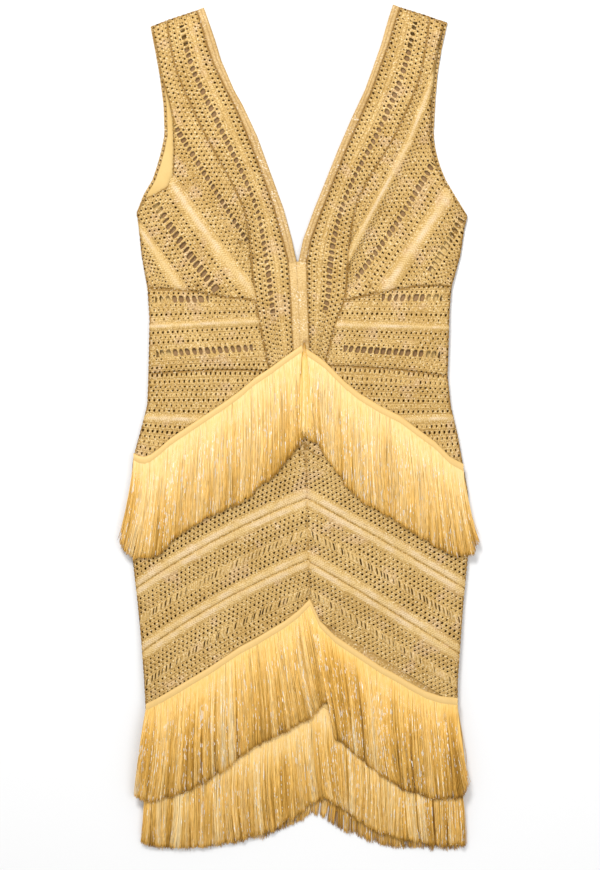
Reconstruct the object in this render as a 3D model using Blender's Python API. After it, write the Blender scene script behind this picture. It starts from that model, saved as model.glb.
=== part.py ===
"""Sleeveless crochet mini dress with a deep V neck and three tiers of fringe.

The dress lies flat on its back: x runs across it, y up it from hem to shoulder and z up from
the surface. All sizes below are in mm. Left and right are as seen from in front of it.
"""

from collections import namedtuple

import bpy
import numpy as np

MM = 0.001

# Cloth, from the surface up
BACK_WALL = 2.0
LINING_WALL = 1.0
FRONT_WALL = 2.0
LAYER_GAP = 0.3
SEAM_GAP = 0.7
RIB = 0.7
BINDING_RIB = 0.5

BACK_LINING = BACK_WALL + LAYER_GAP
FRONT_LINING = BACK_LINING + LINING_WALL + LAYER_GAP
FRONT = FRONT_LINING + LINING_WALL + LAYER_GAP

# Towards the side and shoulder seams the front comes down onto the back
ROLL_WIDTH = 16.0
ROLL_COLUMNS = (6.0, 16.0)
COLUMN_WIDTH = 24.0
NARROW_COLUMN = 17.0
BACK_COLUMNS = 6
LINING_COLUMNS = 3
LINING_FROM_EDGE = 3.0
BACK_LINING_FROM_SIDE = 13.0
FRONT_LINING_FROM_SIDE = 30.0

# The back skirt lies on its own fringe, first on one tier and then on two
FRINGE_LIFT = 2.8
LIFTS = ((193.8, 100.0), (-189.5, 90.0))

# Ladder stitch: the share of each step that is open
OPEN_SHARE = 0.64
# No hole nearer to the end of its line than this share of it
HOLE_FROM_END = 0.015

# Fringe
TAPE_HALF = 4.3
LOCK_THICK = 2.0
TAPE_THICK = 1.6
TIP_THICK = 1.1
LOCK_GAP = 0.8
FRINGE_GAP = 0.5
TIP_NARROWING = 0.2
FRONT_LOCKS = 16
BACK_LOCKS = 10
TIER_STEP = LOCK_THICK + 0.6
FRINGE_FLOOR = 0.4
HEM_CLEARANCE = 2.0
HEM_FALL = 120.0
TIER_CLIMB = 24.0
TIER_AHEAD = 8.0
BACK_FALL_FROM = 6.0
BACK_FALL = 25.0
BACK_DROP = 10.0
# How far the ends of neighbouring locks stand above or below the line of the tips
RAGGED = (0.0, 2.2, -1.0, 1.2, 3.0, -0.4, 1.8)

# Where the V ends, and the lines across the strip below it
V_FOOT = 173.5
INSERT_ROWS = 5

# Curves, as points from the top of the dress down or from its sides inward
NECK_EDGE = {
    "left": [
        (-100.9, 446.8), (-89.1, 412.6), (-82.7, 391.3), (-68.9, 359.2), (-59.3, 342.2),
        (-44.3, 310.1), (-27.2, 263.2), (-15.5, 231.1), (-6.9, 199.1), (-1.1, 171.3),
    ],
    "right": [
        (100.9, 450.0), (95.6, 434.0), (88.1, 407.3), (81.7, 389.1), (71.0, 359.2),
        (56.0, 327.2), (42.2, 295.2), (29.4, 263.2), (16.5, 231.1), (4.8, 199.1), (-1.1, 171.3),
    ],
}
BAND_EDGE = {
    "left": [
        (-108.4, 443.6), (-102.0, 423.3), (-97.7, 407.3), (-91.3, 388.1), (-78.5, 361.4),
        (-65.7, 336.8), (-51.8, 303.7), (-39.0, 269.6), (-26.2, 233.3), (-17.6, 201.2),
        (-10.7, 175.6), (-8.0, 135.1), (-5.3, 76.3),
    ],
    "right": [
        (108.4, 446.8), (102.0, 427.6), (96.6, 408.4), (89.1, 388.1), (77.4, 356.0),
        (63.5, 324.0), (49.6, 292.0), (36.8, 260.0), (24.0, 227.9), (13.3, 199.1), (8.5, 175.6),
        (9.6, 135.1), (11.7, 76.3),
    ],
}
BAND_SEAM = {
    "left": [
        (-140.4, 432.9), (-138.3, 416.9), (-134.0, 393.4), (-128.6, 374.2), (-121.2, 357.1),
        (-112.6, 337.9), (-100.9, 313.3), (-88.1, 289.9), (-76.3, 269.6), (-65.7, 249.3),
        (-57.1, 229.0), (-52.8, 209.8), (-51.2, 188.4), (-49.1, 164.9), (-45.4, 134.0),
        (-41.1, 108.4), (-35.8, 83.8), (-29.9, 58.2),
    ],
    "right": [
        (139.3, 437.2), (138.3, 421.2), (135.1, 402.0), (131.8, 383.8), (126.5, 363.5),
        (118.0, 343.2), (108.4, 321.9), (98.8, 302.7), (87.0, 283.4), (74.2, 263.2),
        (63.5, 241.8), (57.1, 218.3), (53.9, 193.8), (52.3, 169.2), (50.7, 148.9), (48.6, 134.0),
        (41.6, 115.8), (34.7, 92.3), (28.3, 64.6),
    ],
}
UNDER_BUST = {
    "left": [
        (-160.7, 147.9), (-139.3, 146.8), (-115.8, 144.7), (-81.7, 138.3), (-45.4, 134.0),
    ],
    "right": [
        (162.8, 148.9), (145.7, 149.8), (127.6, 149.5), (106.2, 146.3), (84.9, 142.5),
        (48.6, 134.0),
    ],
}
WAIST = {
    "left": [
        (-159.6, 56.0), (-126.5, 58.4), (-89.1, 60.1), (-57.1, 60.3), (-29.9, 58.2),
    ],
    "right": [
        (158.5, 53.9), (140.4, 56.0), (108.4, 60.3), (71.0, 63.0), (49.6, 64.1), (28.3, 64.6),
    ],
}
ARMHOLE = {
    "left": [
        (-156.4, 426.5), (-150.0, 396.6), (-146.8, 375.3), (-141.5, 359.2), (-137.2, 343.2),
        (-134.0, 327.2), (-132.9, 295.2), (-134.0, 268.5), (-139.3, 255.7), (-153.2, 247.1),
        (-163.9, 242.9), (-172.4, 227.9),
    ],
    "right": [
        (155.3, 429.7), (147.9, 402.0), (143.6, 375.3), (141.5, 348.6), (140.4, 311.2),
        (142.5, 295.2), (146.8, 279.2), (154.3, 262.1), (163.9, 246.1), (175.6, 230.1),
        (179.9, 224.7),
    ],
}
BACK_ARMHOLE = {
    "left": [
        (-157.5, 426.5), (-152.1, 398.7), (-147.9, 375.3), (-143.6, 343.2), (-142.5, 311.2),
        (-145.7, 295.2), (-150.0, 279.2), (-155.3, 263.2), (-164.9, 247.1), (-172.4, 227.9),
    ],
    "right": [
        (158.5, 430.8), (152.1, 402.0), (147.9, 375.3), (145.7, 348.6), (143.6, 311.2),
        (145.7, 295.2), (150.0, 279.2), (156.4, 263.2), (166.0, 247.1), (179.9, 224.7),
    ],
}
SIDE = {
    "left": [
        (-172.4, 227.9), (-170.3, 215.1), (-167.1, 183.1), (-163.9, 164.9), (-160.7, 147.9),
        (-158.5, 113.7), (-159.6, 56.0), (-160.7, 23.0), (-167.1, -1.6), (-175.6, -32.6),
        (-178.8, -67.8), (-178.8, -110.5), (-175.6, -147.9), (-171.3, -185.2), (-167.1, -227.9),
        (-163.9, -270.6), (-161.7, -313.3), (-161.7, -348.6),
    ],
    "right": [
        (179.9, 224.7), (176.7, 211.9), (172.4, 183.1), (168.1, 167.1), (162.8, 148.9),
        (160.7, 124.4), (159.6, 87.0), (158.5, 53.9), (161.7, 23.0), (169.2, -9.1),
        (175.6, -44.3), (179.9, -67.8), (182.0, -99.8), (179.9, -142.5), (175.6, -185.2),
        (172.4, -227.9), (169.2, -270.6), (169.2, -313.3), (170.3, -351.8),
    ],
}
CENTRE = [
        (-1.1, 171.3), (1.1, 135.1), (3.2, 82.2), (7.5, -14.4), (9.1, -78.5), (10.7, -142.5),
        (12.3, -187.4), (14.4, -238.6), (19.8, -298.4), (20.8, -313.3),
    ]

# The lines that the three trims are sewn along, from the sides inward
TIER_1 = {
    "left": [
        (-175.6, -32.6), (-159.8, -35.8), (-147.9, -27.2), (-137.2, -17.6), (-126.5, -10.1),
        (-110.5, 0.5), (-94.5, 11.2), (-78.5, 21.9), (-62.5, 33.6), (-46.4, 47.5), (-29.9, 58.2),
        (-14.4, 69.9), (-5.3, 76.3), (3.2, 82.2),
    ],
    "right": [
        (175.6, -44.3), (161.3, -36.6), (145.7, -20.8), (129.7, -9.1), (108.4, 6.9),
        (87.0, 17.6), (65.7, 30.4), (49.6, 43.2), (28.3, 64.6), (19.8, 71.0), (11.7, 76.3),
        (3.2, 82.2),
    ],
}
TIER_2 = {
    "left": [
        (-162.3, -299.5), (-142.5, -288.8), (-126.5, -279.2), (-110.5, -269.6), (-94.5, -260.0),
        (-78.5, -249.3), (-62.5, -238.6), (-46.4, -230.1), (-30.4, -220.5), (-14.4, -210.9),
        (-0.5, -200.2), (12.3, -187.4),
    ],
    "right": [
        (169.2, -293.1), (151.1, -290.9), (135.1, -285.6), (119.0, -277.0), (103.0, -267.4),
        (87.0, -258.9), (71.0, -248.2), (55.0, -237.5), (39.0, -226.9), (23.0, -210.9),
        (12.3, -187.4),
    ],
}
TIER_3 = {
    "left": [
        (-161.7, -342.2), (-105.2, -342.2), (-57.1, -337.9), (-25.1, -327.2), (1.6, -310.1),
        (19.8, -292.0),
    ],
    "right": [
        (170.3, -345.4), (121.2, -341.1), (92.3, -333.6), (67.8, -324.0), (49.6, -308.0),
        (19.8, -292.0),
    ],
}
HEM = {
    "left": [
        (-161.7, -348.6), (-105.2, -348.6), (-57.1, -344.3), (-25.1, -333.6), (1.6, -316.5),
        (19.8, -298.4),
    ],
    "right": [
        (170.3, -351.8), (121.2, -347.5), (92.3, -340.0), (67.8, -330.4), (49.6, -314.4),
        (19.8, -298.4),
    ],
}
# Where the locks of each trim end
TIPS_1 = {
    "left": [
        (-191.6, -122.2), (-185.2, -134.0), (-176.7, -139.3), (-158.5, -139.3), (-147.9, -135.1),
        (-135.1, -121.2), (-115.8, -107.3), (-105.2, -100.9), (-83.8, -92.3), (-57.1, -76.3),
        (-39.0, -61.4), (-21.9, -48.6), (-6.9, -28.3), (6.9, -12.3),
    ],
    "right": [
        (191.6, -122.2), (187.4, -134.0), (176.7, -138.3), (161.7, -134.0), (145.7, -126.5),
        (129.7, -118.0), (97.7, -96.6), (67.8, -78.5), (49.6, -60.3), (39.0, -46.4),
        (28.3, -30.4), (20.8, -18.7), (6.9, -12.3),
    ],
}
TIPS_2 = {
    "left": [
        (-174.6, -394.5), (-158.5, -398.7), (-137.2, -393.4), (-110.5, -383.8), (-83.8, -366.7),
        (-62.5, -350.7), (-39.0, -335.8), (-14.4, -325.1), (10.1, -311.2), (32.6, -288.8),
    ],
    "right": [
        (181.0, -381.7), (174.6, -393.4), (156.4, -396.6), (135.1, -393.4), (108.4, -382.7),
        (87.0, -368.9), (63.5, -350.7), (55.0, -342.2), (39.0, -330.4), (32.6, -288.8),
    ],
}
TIPS_3 = {
    "left": [
        (-168.1, -441.5), (-158.5, -446.8), (-126.5, -448.9), (-89.1, -445.7), (-57.1, -439.3),
        (-25.1, -428.6), (1.6, -411.6), (28.3, -394.5),
    ],
    "right": [
        (177.8, -446.8), (161.7, -445.7), (140.4, -444.7), (108.4, -439.3), (78.5, -429.7),
        (49.6, -409.4), (28.3, -394.5),
    ],
}
BACK_TIPS_3 = {
    "left": [
        (-168.1, -441.5), (-158.5, -446.8), (-126.5, -448.9), (-89.1, -446.8), (-57.1, -442.5),
        (-25.1, -432.9), (1.6, -421.2), (13.3, -411.6),
    ],
    "right": [
        (177.8, -447.9), (161.7, -448.9), (108.4, -448.9), (76.3, -442.5), (49.6, -431.8),
        (25.1, -416.9), (13.3, -411.6),
    ],
}

# A line of the crochet runs from a point on a panel's outer side to one on its inner side.
# top and foot: the shares of the wander of the panel's first and last edges that it takes.
# bow: how far its middle stands off. rise: its height over the wall. holes, skip, step: the
# ladder stitch between it and the next line, as a count, the mm before the first hole and
# the mm from one to the next.
Course = namedtuple(
    "Course", "start end top foot bow rise holes skip step", defaults=(0,) * 7
)

BUST_COURSES = {
    "left": [
        Course((-140.4, 432.9), (-53.3, 211.8), top=1),
        Course((-156.4, 426.5), (-52.6, 207.6), top=0.85),
        Course((-146.8, 375.3), (-52.2, 202.3), top=0.5),
        Course((-134.6, 330.3), (-51.8, 197.0), top=0.1, holes=25, skip=5, step=6.0),
        Course((-133.6, 316.5), (-51.1, 187.4)),
        Course((-133.0, 293.1), (-49.5, 169.2)),
        Course((-133.9, 270.7), (-47.6, 152.1), bow=-2),
        Course((-136.6, 262.3), (-46.4, 142.5), bow=-3, rise=RIB),
        Course((-141.5, 254.3), (-53.9, 135.0), bow=-3),
        Course((-153.2, 247.1), (-76.3, 137.7), bow=-2, holes=18, skip=9, step=6.3),
        Course((-161.7, 243.8), (-88.6, 139.6), bow=-2),
        Course((-168.1, 235.4), (-105.1, 142.7), bow=-1),
        Course((-171.5, 222.6), (-115.8, 144.7)),
        Course((-170.0, 211.9), (-125.4, 145.6), rise=RIB),
        Course((-168.9, 201.2), (-135.0, 146.4)),
        Course((-165.8, 175.6), (-147.8, 147.2)),
        Course((-161.7, 153.2), (-157.5, 147.7)),
    ],
    "right": [
        Course((139.3, 437.2), (56.3, 211.9), top=1),
        Course((155.3, 429.7), (55.7, 207.6), top=0.4),
        Course((144.8, 382.7), (54.6, 199.2), top=0.65),
        Course((143.4, 373.1), (53.8, 192.7), top=0.65, rise=RIB),
        Course((142.6, 362.4), (53.4, 186.3), top=0.65),
        Course((140.9, 329.3), (52.3, 169.2), top=0.5),
        Course((143.9, 289.9), (50.7, 148.9), bow=4, holes=24, skip=6, step=6.3),
        Course((146.8, 279.2), (49.2, 138.3), bow=4),
        Course((156.7, 258.0), (79.6, 141.3)),
        Course((161.9, 249.4), (91.3, 143.6), rise=RIB),
        Course((167.1, 241.8), (101.9, 145.5)),
        Course((175.6, 230.1), (120.1, 148.4), holes=11, skip=12, step=6.0),
        Course((179.1, 221.5), (128.6, 149.5)),
        Course((175.1, 201.2), (141.5, 149.7)),
        Course((171.8, 180.8), (151.1, 149.5)),
        Course((164.3, 154.1), (159.6, 149.1)),
    ],
}
MIDRIFF_COURSES = {
    "left": [
        Course((-160.7, 147.9), (-115.8, 144.7)),
        Course((-160.1, 139.3), (-87.0, 139.3), holes=9, skip=5, step=7.0),
        Course((-159.7, 131.8), (-45.0, 131.9)),
        Course((-158.6, 110.5), (-42.5, 116.8)),
        Course((-158.6, 106.2), (-41.8, 112.5), rise=RIB),
        Course((-158.7, 102.0), (-41.0, 108.1)),
        Course((-159.1, 80.6), (-36.7, 88.1), holes=16, skip=5, step=6.8),
        Course((-159.3, 73.1), (-35.1, 80.8)),
        Course((-159.6, 56.0), (-29.9, 58.2), foot=1),
    ],
    "right": [
        Course((162.8, 148.9), (127.6, 149.5)),
        Course((162.1, 140.9), (78.5, 141.0), holes=10, skip=7, step=7.0),
        Course((161.5, 133.5), (48.2, 132.9)),
        Course((160.3, 109.4), (40.9, 113.4)),
        Course((160.1, 105.2), (39.4, 108.2), rise=RIB),
        Course((160.0, 100.9), (38.1, 104.0)),
        Course((159.4, 79.5), (33.6, 87.4), holes=16, skip=6, step=6.8),
        Course((159.1, 72.1), (32.0, 80.5)),
        Course((158.5, 53.9), (28.3, 64.6), foot=1),
    ],
}
YOKE_COURSES = {
    "left": [
        Course((-159.6, 56.0), (-29.9, 58.2), top=1),
        Course((-160.2, 36.9), (-56.1, 39.1), top=0.4),
        Course((-162.3, 17.0), (-89.3, 14.7)),
        Course((-164.2, 9.7), (-102.1, 6.1), rise=RIB),
        Course((-166.2, 1.9), (-114.9, -2.4)),
        Course((-170.0, -12.1), (-135.3, -16.2)),
        Course((-173.5, -25.1), (-159.8, -35.8)),
    ],
    "right": [
        Course((158.5, 53.9), (28.3, 64.6), top=1),
        Course((160.5, 34.7), (53.1, 40.4), top=0.4),
        Course((163.0, 17.6), (92.6, 14.8)),
        Course((165.0, 9.1), (107.5, 7.4), rise=RIB),
        Course((167.0, 0.5), (120.0, -1.8)),
        Course((170.8, -17.7), (145.7, -20.8)),
        Course((174.3, -36.9), (161.3, -36.6)),
    ],
}
SKIRT_COURSES = {
    "left": [
        Course((-175.6, -32.6), (3.2, 82.2), top=1),
        Course((-178.8, -83.8), (6.1, 17.6), top=0.6),
        Course((-177.2, -129.7), (8.1, -37.9), bow=6),
        Course((-174.0, -161.7), (8.8, -64.6), bow=6),
        Course((-173.4, -167.0), (8.9, -69.9), bow=6, rise=RIB),
        Course((-172.8, -172.3), (9.0, -76.3), bow=6),
        Course((-172.2, -177.7), (9.2, -81.7), bow=6, rise=RIB),
        Course((-171.6, -183.0), (9.3, -87.0), bow=6),
        Course((-169.2, -206.6), (10.0, -112.6), bow=6),
        Course((-167.0, -229.0), (10.4, -130.8), bow=6),
        Course((-166.6, -234.3), (10.5, -136.1), bow=6, rise=RIB),
        Course((-166.2, -239.7), (10.7, -141.5), bow=6),
        Course((-165.8, -245.0), (10.9, -146.8), bow=6, rise=RIB),
        Course((-165.4, -250.4), (11.0, -152.1), bow=6),
        Course((-163.7, -273.8), (11.8, -174.6), bow=6),
        Course((-162.6, -295.2), (12.9, -201.3), bow=3),
        Course((-161.8, -312.3), (13.9, -226.9), foot=0.2),
        Course((-161.7, -330.4), (16.5, -262.1), foot=0.5),
        Course((-161.7, -348.6), (19.8, -298.4), foot=1),
    ],
    "right": [
        Course((175.6, -44.3), (3.2, 82.2), top=1),
        Course((181.0, -83.8), (6.1, 17.6), top=0.6),
        Course((180.5, -129.7), (8.1, -37.9), bow=-1),
        Course((178.0, -161.7), (8.8, -64.6), bow=-1),
        Course((177.4, -167.0), (8.9, -69.9), bow=-1, rise=RIB),
        Course((176.9, -172.4), (9.0, -76.3), bow=-1),
        Course((176.4, -177.7), (9.2, -81.7), bow=-1, rise=RIB),
        Course((175.8, -183.1), (9.3, -87.0), bow=-1),
        Course((173.9, -207.6), (10.0, -112.6), bow=-1),
        Course((172.2, -231.1), (10.4, -130.8), bow=-1),
        Course((171.8, -236.5), (10.6, -137.2), bow=-1, rise=RIB),
        Course((171.4, -241.8), (10.7, -143.6), bow=-1),
        Course((171.0, -247.1), (10.9, -148.9), bow=-1, rise=RIB),
        Course((170.6, -252.5), (11.1, -154.3), bow=-1),
        Course((169.2, -274.9), (11.9, -176.7), bow=-1),
        Course((169.2, -294.1), (12.9, -201.3), bow=-1),
        Course((169.2, -312.3), (13.9, -226.9), foot=0.2),
        Course((169.7, -331.5), (16.5, -262.1), foot=0.5),
        Course((170.3, -351.8), (19.8, -298.4), foot=1),
    ],
}
# Across the neck band, as shares of its width: where a line lies, its rise and its ladder
Stripe = namedtuple("Stripe", "share rise holes skip step", defaults=(0, 0, 0, 0))
BAND_STRIPES = [
    Stripe(0.0), Stripe(0.25, RIB), Stripe(0.5, holes=49, skip=8, step=6.75), Stripe(0.64),
    Stripe(0.84, RIB), Stripe(1.0),
]
BINDING_STRIPES = [Stripe(0.0), Stripe(0.5, BINDING_RIB), Stripe(1.0)]

# Rows of the plain pieces: the height at the outer side and at the inner side
BODICE_ROWS = (
    (419.0, 424.4), (402.0, 407.3), (382.7, 388.1), (356.0, 359.2), (329.4, 332.6),
    (302.7, 303.7), (273.8, 268.5), (250.4, 233.3), (227.9, 215.1),
    (205.5, 199.1), (186.3, 175.6), (171.3, 171.3), (151.1, 153.2), (131.8, 137.2), (111.6, 122.2),
    (87.0, 108.4), (39.0, 94.5),
)
SKIRT_ROWS = (
    (-89.1, 6.9), (-147.9, -78.5), (-192.7, -153.2), (-215.1, -190.6),
    (-236.5, -214.1), (-257.8, -236.5), (-281.3, -257.8), (-313.3, -279.2),
)


def ease(t):
    """A smooth step from 0 to 1."""
    t = np.clip(t, 0.0, 1.0)
    return t * t * (3.0 - 2.0 * t)


def run(path):
    """The distance of each point of a curve along it."""
    steps = np.hypot(*np.diff(np.asarray(path), axis=0).T)
    return np.concatenate([[0.0], np.cumsum(steps)])


def along(path, share):
    """The points that lie these shares of the way along a curve."""
    path = np.asarray(path)
    at = run(path)
    return np.column_stack([np.interp(np.asarray(share) * at[-1], at, path[:, i]) for i in (0, 1)])


def at_height(path, y):
    """The point of a falling curve at this height."""
    path = np.asarray(path)[::-1]
    return float(np.interp(y, path[:, 1], path[:, 0])), float(y)


def height_at(path, x):
    """The height of a curve at these distances across."""
    path = np.asarray(path)
    path = path[np.argsort(path[:, 0])]
    return np.interp(x, path[:, 0], path[:, 1])


def part_of(path, start, end):
    """The stretch of a curve between the points of it that are nearest to start and end."""
    path = np.asarray(path)
    fine = along(path, np.linspace(0, 1, 2000))
    first, last = [int(np.argmin(np.hypot(*(fine - p).T))) / 1999 for p in (start, end)]
    marks = run(path) / run(path)[-1]
    inner = marks[(marks > first + 0.002) & (marks < last - 0.002)]
    return along(path, np.concatenate([[first], inner, [last]]))


def distance_to(path, points):
    """How far each point is from a curve."""
    path = np.asarray(path)
    best = np.full(len(points), np.inf)
    for a, b in zip(path[:-1], path[1:]):
        d = b - a
        t = np.clip(((points - a) @ d) / (d @ d), 0.0, 1.0)
        best = np.minimum(best, np.hypot(*(points - a - t[:, None] * d).T))
    return best


def shoulder(side):
    return [ARMHOLE[side][0], NECK_EDGE[side][0]]


def from_seams(points):
    """How far inward of the side and shoulder seams each point is, and 0 outside them."""
    found = np.full(len(points), np.inf)
    for side in ("left", "right"):
        found = np.minimum(found, distance_to(SIDE[side], points))
        found = np.minimum(found, distance_to(shoulder(side), points))
    x, y = points.T
    tops = [np.asarray(SIDE[side])[::-1] for side in ("left", "right")]
    low, high = [np.interp(y, top[:, 1], top[:, 0]) for top in tops]
    outside = (y < SIDE["left"][0][1]) & ((x < low) | (x > high))
    return np.where(outside, 0.0, found)


def ground(points):
    """The height of the back's underside over the surface."""
    y = points[:, 1]
    return sum(FRINGE_LIFT * ease((top - y) / reach) for top, reach in LIFTS)


def front_under(points):
    """The height of the front's underside over the surface."""
    rolled = ease(from_seams(points) / ROLL_WIDTH)
    return ground(points) + BACK_LINING + (FRONT - BACK_LINING) * rolled


def columns(length, width):
    """Where a line of this length is divided, as shares: closely by the seam it starts at."""
    near = [c / length for c in ROLL_COLUMNS if c < 0.4 * length]
    rest = length - (ROLL_COLUMNS[-1] if near else 0.0)
    count = max(2, int(np.ceil(rest / width)))
    start = near[-1] if near else 0.0
    return sorted(set([0.0] + near + list(np.linspace(start, 1.0, count + 1)[1:])))


class Panel:
    """A flat mesh that is laid course by course, with ladder holes left open."""

    def __init__(self, courses, first=None, last=None, plain_columns=0, width=COLUMN_WIDTH):
        self.courses = courses
        self.first = first
        self.last = last
        longest = max(self.length(course) for course in courses)
        even = np.linspace(0, 1, plain_columns + 1)
        self.coarse = list(even) if plain_columns else columns(longest, width)
        self.points = []
        self.rise = []
        self.faces = []
        self.lay()

    def length(self, course):
        return float(np.hypot(*np.subtract(course.end, course.start)))

    def line(self, course, share):
        share = np.asarray(share, float)[:, None]
        start, end = np.asarray(course.start), np.asarray(course.end)
        chord = start + (end - start) * share
        for path, weight in ((self.first, course.top), (self.last, course.foot)):
            if weight:
                path = np.asarray(path)
                straight = path[0] + (path[-1] - path[0]) * share
                chord = chord + weight * (along(path, share[:, 0]) - straight)
        across = np.array([-(end - start)[1], (end - start)[0]]) / self.length(course)
        return chord + course.bow * 4.0 * share * (1.0 - share) * across

    def hole_edges(self, course):
        """Where the ladder holes under a course begin and end, as shares of its length."""
        length = run(self.line(course, np.linspace(0, 1, 60)))[-1]
        starts = course.skip + course.step * np.arange(course.holes)
        return np.column_stack([starts, starts + course.step * OPEN_SHARE]) / length

    def across_from(self, course, points):
        """The shares of this course's length that lie nearest to some points."""
        share = np.linspace(0, 1, 3000)
        fine = self.line(course, share)
        return np.array([share[np.argmin(np.hypot(*(fine - p).T))] for p in points])

    def ladder_edges(self, course, below):
        """The sides of the ladder holes on the line over them and on the line below."""
        upper = self.hole_edges(course)
        upper = upper[upper[:, 1] < 0.985]
        lower = self.across_from(below, self.line(course, upper.reshape(-1))).reshape(-1, 2)
        inside = (lower[:, 0] > HOLE_FROM_END) & (lower[:, 1] < 1 - HOLE_FROM_END)
        return upper[inside].reshape(-1), lower[inside].reshape(-1)

    def place(self, course, edges):
        """Adds a course's points. Returns their numbers and which of them end each column."""
        share = set(self.coarse)
        if edges is not None:
            clear = [c for c in self.coarse if c < edges[0] - 0.01 or c > edges[-1] + 0.01]
            share = set(clear) | set(edges) | {0.0, 1.0}
        share = np.array(sorted(share))
        numbers = len(self.points) + np.arange(len(share))
        self.points += list(self.line(course, share))
        self.rise += [course.rise] * len(share)
        ends = [int(np.argmin(abs(share - c))) for c in self.coarse]
        return numbers, share, ends

    def lay(self):
        edges = [None] * len(self.courses)
        for i, course in enumerate(self.courses):
            if course.holes:
                edges[i], edges[i + 1] = self.ladder_edges(course, self.courses[i + 1])
        rows = [self.place(course, edge) for course, edge in zip(self.courses, edges)]
        for i, (above, below) in enumerate(zip(rows[:-1], rows[1:])):
            if self.courses[i].holes:
                self.ladder(above, below, edges[i], edges[i + 1])
            else:
                self.plain(above, below)
        self.points = np.array(self.points)
        self.rise = np.array(self.rise, float)
        if sum(self.area(face) for face in self.faces) < 0:
            self.faces = [face[::-1] for face in self.faces]

    def plain(self, above, below):
        upper, _, upper_ends = above
        lower, _, lower_ends = below
        for k in range(len(self.coarse) - 1):
            top = upper[upper_ends[k] : upper_ends[k + 1] + 1]
            bottom = lower[lower_ends[k] : lower_ends[k + 1] + 1]
            if len(top) + len(bottom) > 2:
                self.faces.append(list(top) + list(bottom[::-1]))

    def ladder(self, above, below, upper_edges, lower_edges):
        """Cells between two lines that hold the same holes: every second one is open."""
        upper, upper_share, _ = above
        lower, lower_share, _ = below
        tops = [upper[int(np.argmin(abs(upper_share - e)))] for e in upper_edges]
        bottoms = [lower[int(np.argmin(abs(lower_share - e)))] for e in lower_edges]
        for k in range(1, len(tops) - 1, 2):
            self.faces.append([tops[k], tops[k + 1], bottoms[k + 1], bottoms[k]])
        head = list(upper[: tops[0] - upper[0] + 1]) + list(lower[: bottoms[0] - lower[0] + 1])[::-1]
        tail = list(upper[tops[-1] - upper[0] :]) + list(lower[bottoms[-1] - lower[0] :])[::-1]
        self.faces += [head, tail]

    def area(self, face):
        x, y = self.points[face].T
        return (np.dot(x, np.roll(y, -1)) - np.dot(y, np.roll(x, -1))) / 2.0


def rims(faces):
    """The edges that only one face has, each in the direction that its face gives it."""
    edges = {(a, b) for face in faces for a, b in zip(face, face[1:] + face[:1])}
    return [(a, b) for a, b in edges if (b, a) not in edges]


def drawn_in(points, faces, inset):
    """The points with those of the outline moved inward, which leaves the gap at a seam."""
    after = dict(rims(faces))
    loops = []
    left = set(after)
    while left:
        loop = [left.pop()]
        while after[loop[-1]] != loop[0]:
            loop.append(after[loop[-1]])
            left.discard(loop[-1])
        loops.append(loop)
    outline = max(loops, key=lambda loop: np.ptp(points[loop], axis=0).sum())
    here = points[outline]
    before = here - np.roll(here, 1, axis=0)
    behind = np.roll(here, -1, axis=0) - here
    inward = [np.column_stack([-d[:, 1], d[:, 0]]) / np.hypot(*d.T)[:, None] for d in (before, behind)]
    turn = 1.0 + (inward[0] * inward[1]).sum(axis=1)
    moved = points.copy()
    moved[outline] += inset * (inward[0] + inward[1]) / np.maximum(turn, 0.4)[:, None]
    return moved


def add_solid(collection, name, colour, points, faces, under, over):
    """One closed body between an underside and an upper side of the same flat mesh."""
    count = len(points)
    low = np.column_stack([points, under])
    high = np.column_stack([points, over])
    walls = [(a, b, b + count, a + count) for a, b in rims(faces)]
    lower = [face[::-1] for face in faces]
    upper = [[number + count for number in face] for face in faces]
    mesh = bpy.data.meshes.new(name)
    mesh.from_pydata((np.vstack([low, high]) * MM).tolist(), [], lower + upper + walls)
    mesh.update()
    material = bpy.data.materials.new(name)
    material.use_nodes = True
    shader = material.node_tree.nodes["Principled BSDF"]
    shader.inputs["Base Color"].default_value = (*colour, 1.0)
    shader.inputs["Roughness"].default_value = 0.6
    mesh.materials.append(material)
    obj = bpy.data.objects.new(name, mesh)
    collection.objects.link(obj)
    return obj


CROCHET = (0.67, 0.46, 0.16)
SATIN = (0.78, 0.56, 0.22)
TAUPE = (0.31, 0.19, 0.09)
FRINGE = (0.76, 0.47, 0.12)


def add_front(collection, name, panel, colour=CROCHET):
    points = drawn_in(panel.points, panel.faces, SEAM_GAP / 2)
    under = front_under(points)
    over = under + FRONT_WALL + panel.rise
    add_solid(collection, name, colour, points, panel.faces, under, over)


def band_panel(stripes, inner, outer):
    """A long panel whose courses run from its top end to its bottom end."""
    inner, outer = np.asarray(inner), np.asarray(outer)
    courses = []
    for stripe in stripes:
        ends = [tuple(inner[i] + (outer[i] - inner[i]) * stripe.share) for i in (0, -1)]
        ladder = (stripe.holes, stripe.skip, stripe.step)
        courses.append(Course(*ends, 1 - stripe.share, stripe.share, 0, stripe.rise, *ladder))
    return Panel(courses, inner, outer, width=NARROW_COLUMN)


def above_v(side):
    """The neck band's inner edge down to the point of the V."""
    return [point for point in BAND_EDGE[side] if point[1] > V_FOOT]


def binding_panel(side):
    return band_panel(BINDING_STRIPES, NECK_EDGE[side], above_v(side))


def insert_panel():
    """The narrow strip between the two neck bands, from the V down to the first trim."""
    left, right = [
        [above_v(side)[-1]] + [point for point in BAND_EDGE[side] if point[1] < V_FOOT]
        for side in ("left", "right")
    ]
    top = [left[0], NECK_EDGE["left"][-1], right[0]]
    bottom = [left[-1], TIER_1["left"][-1], right[-1]]
    courses = []
    for share in np.linspace(0, 1, INSERT_ROWS):
        start, end = along(left, [share])[0], along(right, [share])[0]
        courses.append(Course(tuple(start), tuple(end), 1 - share, share))
    return Panel(courses, top, bottom, plain_columns=2)


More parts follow.
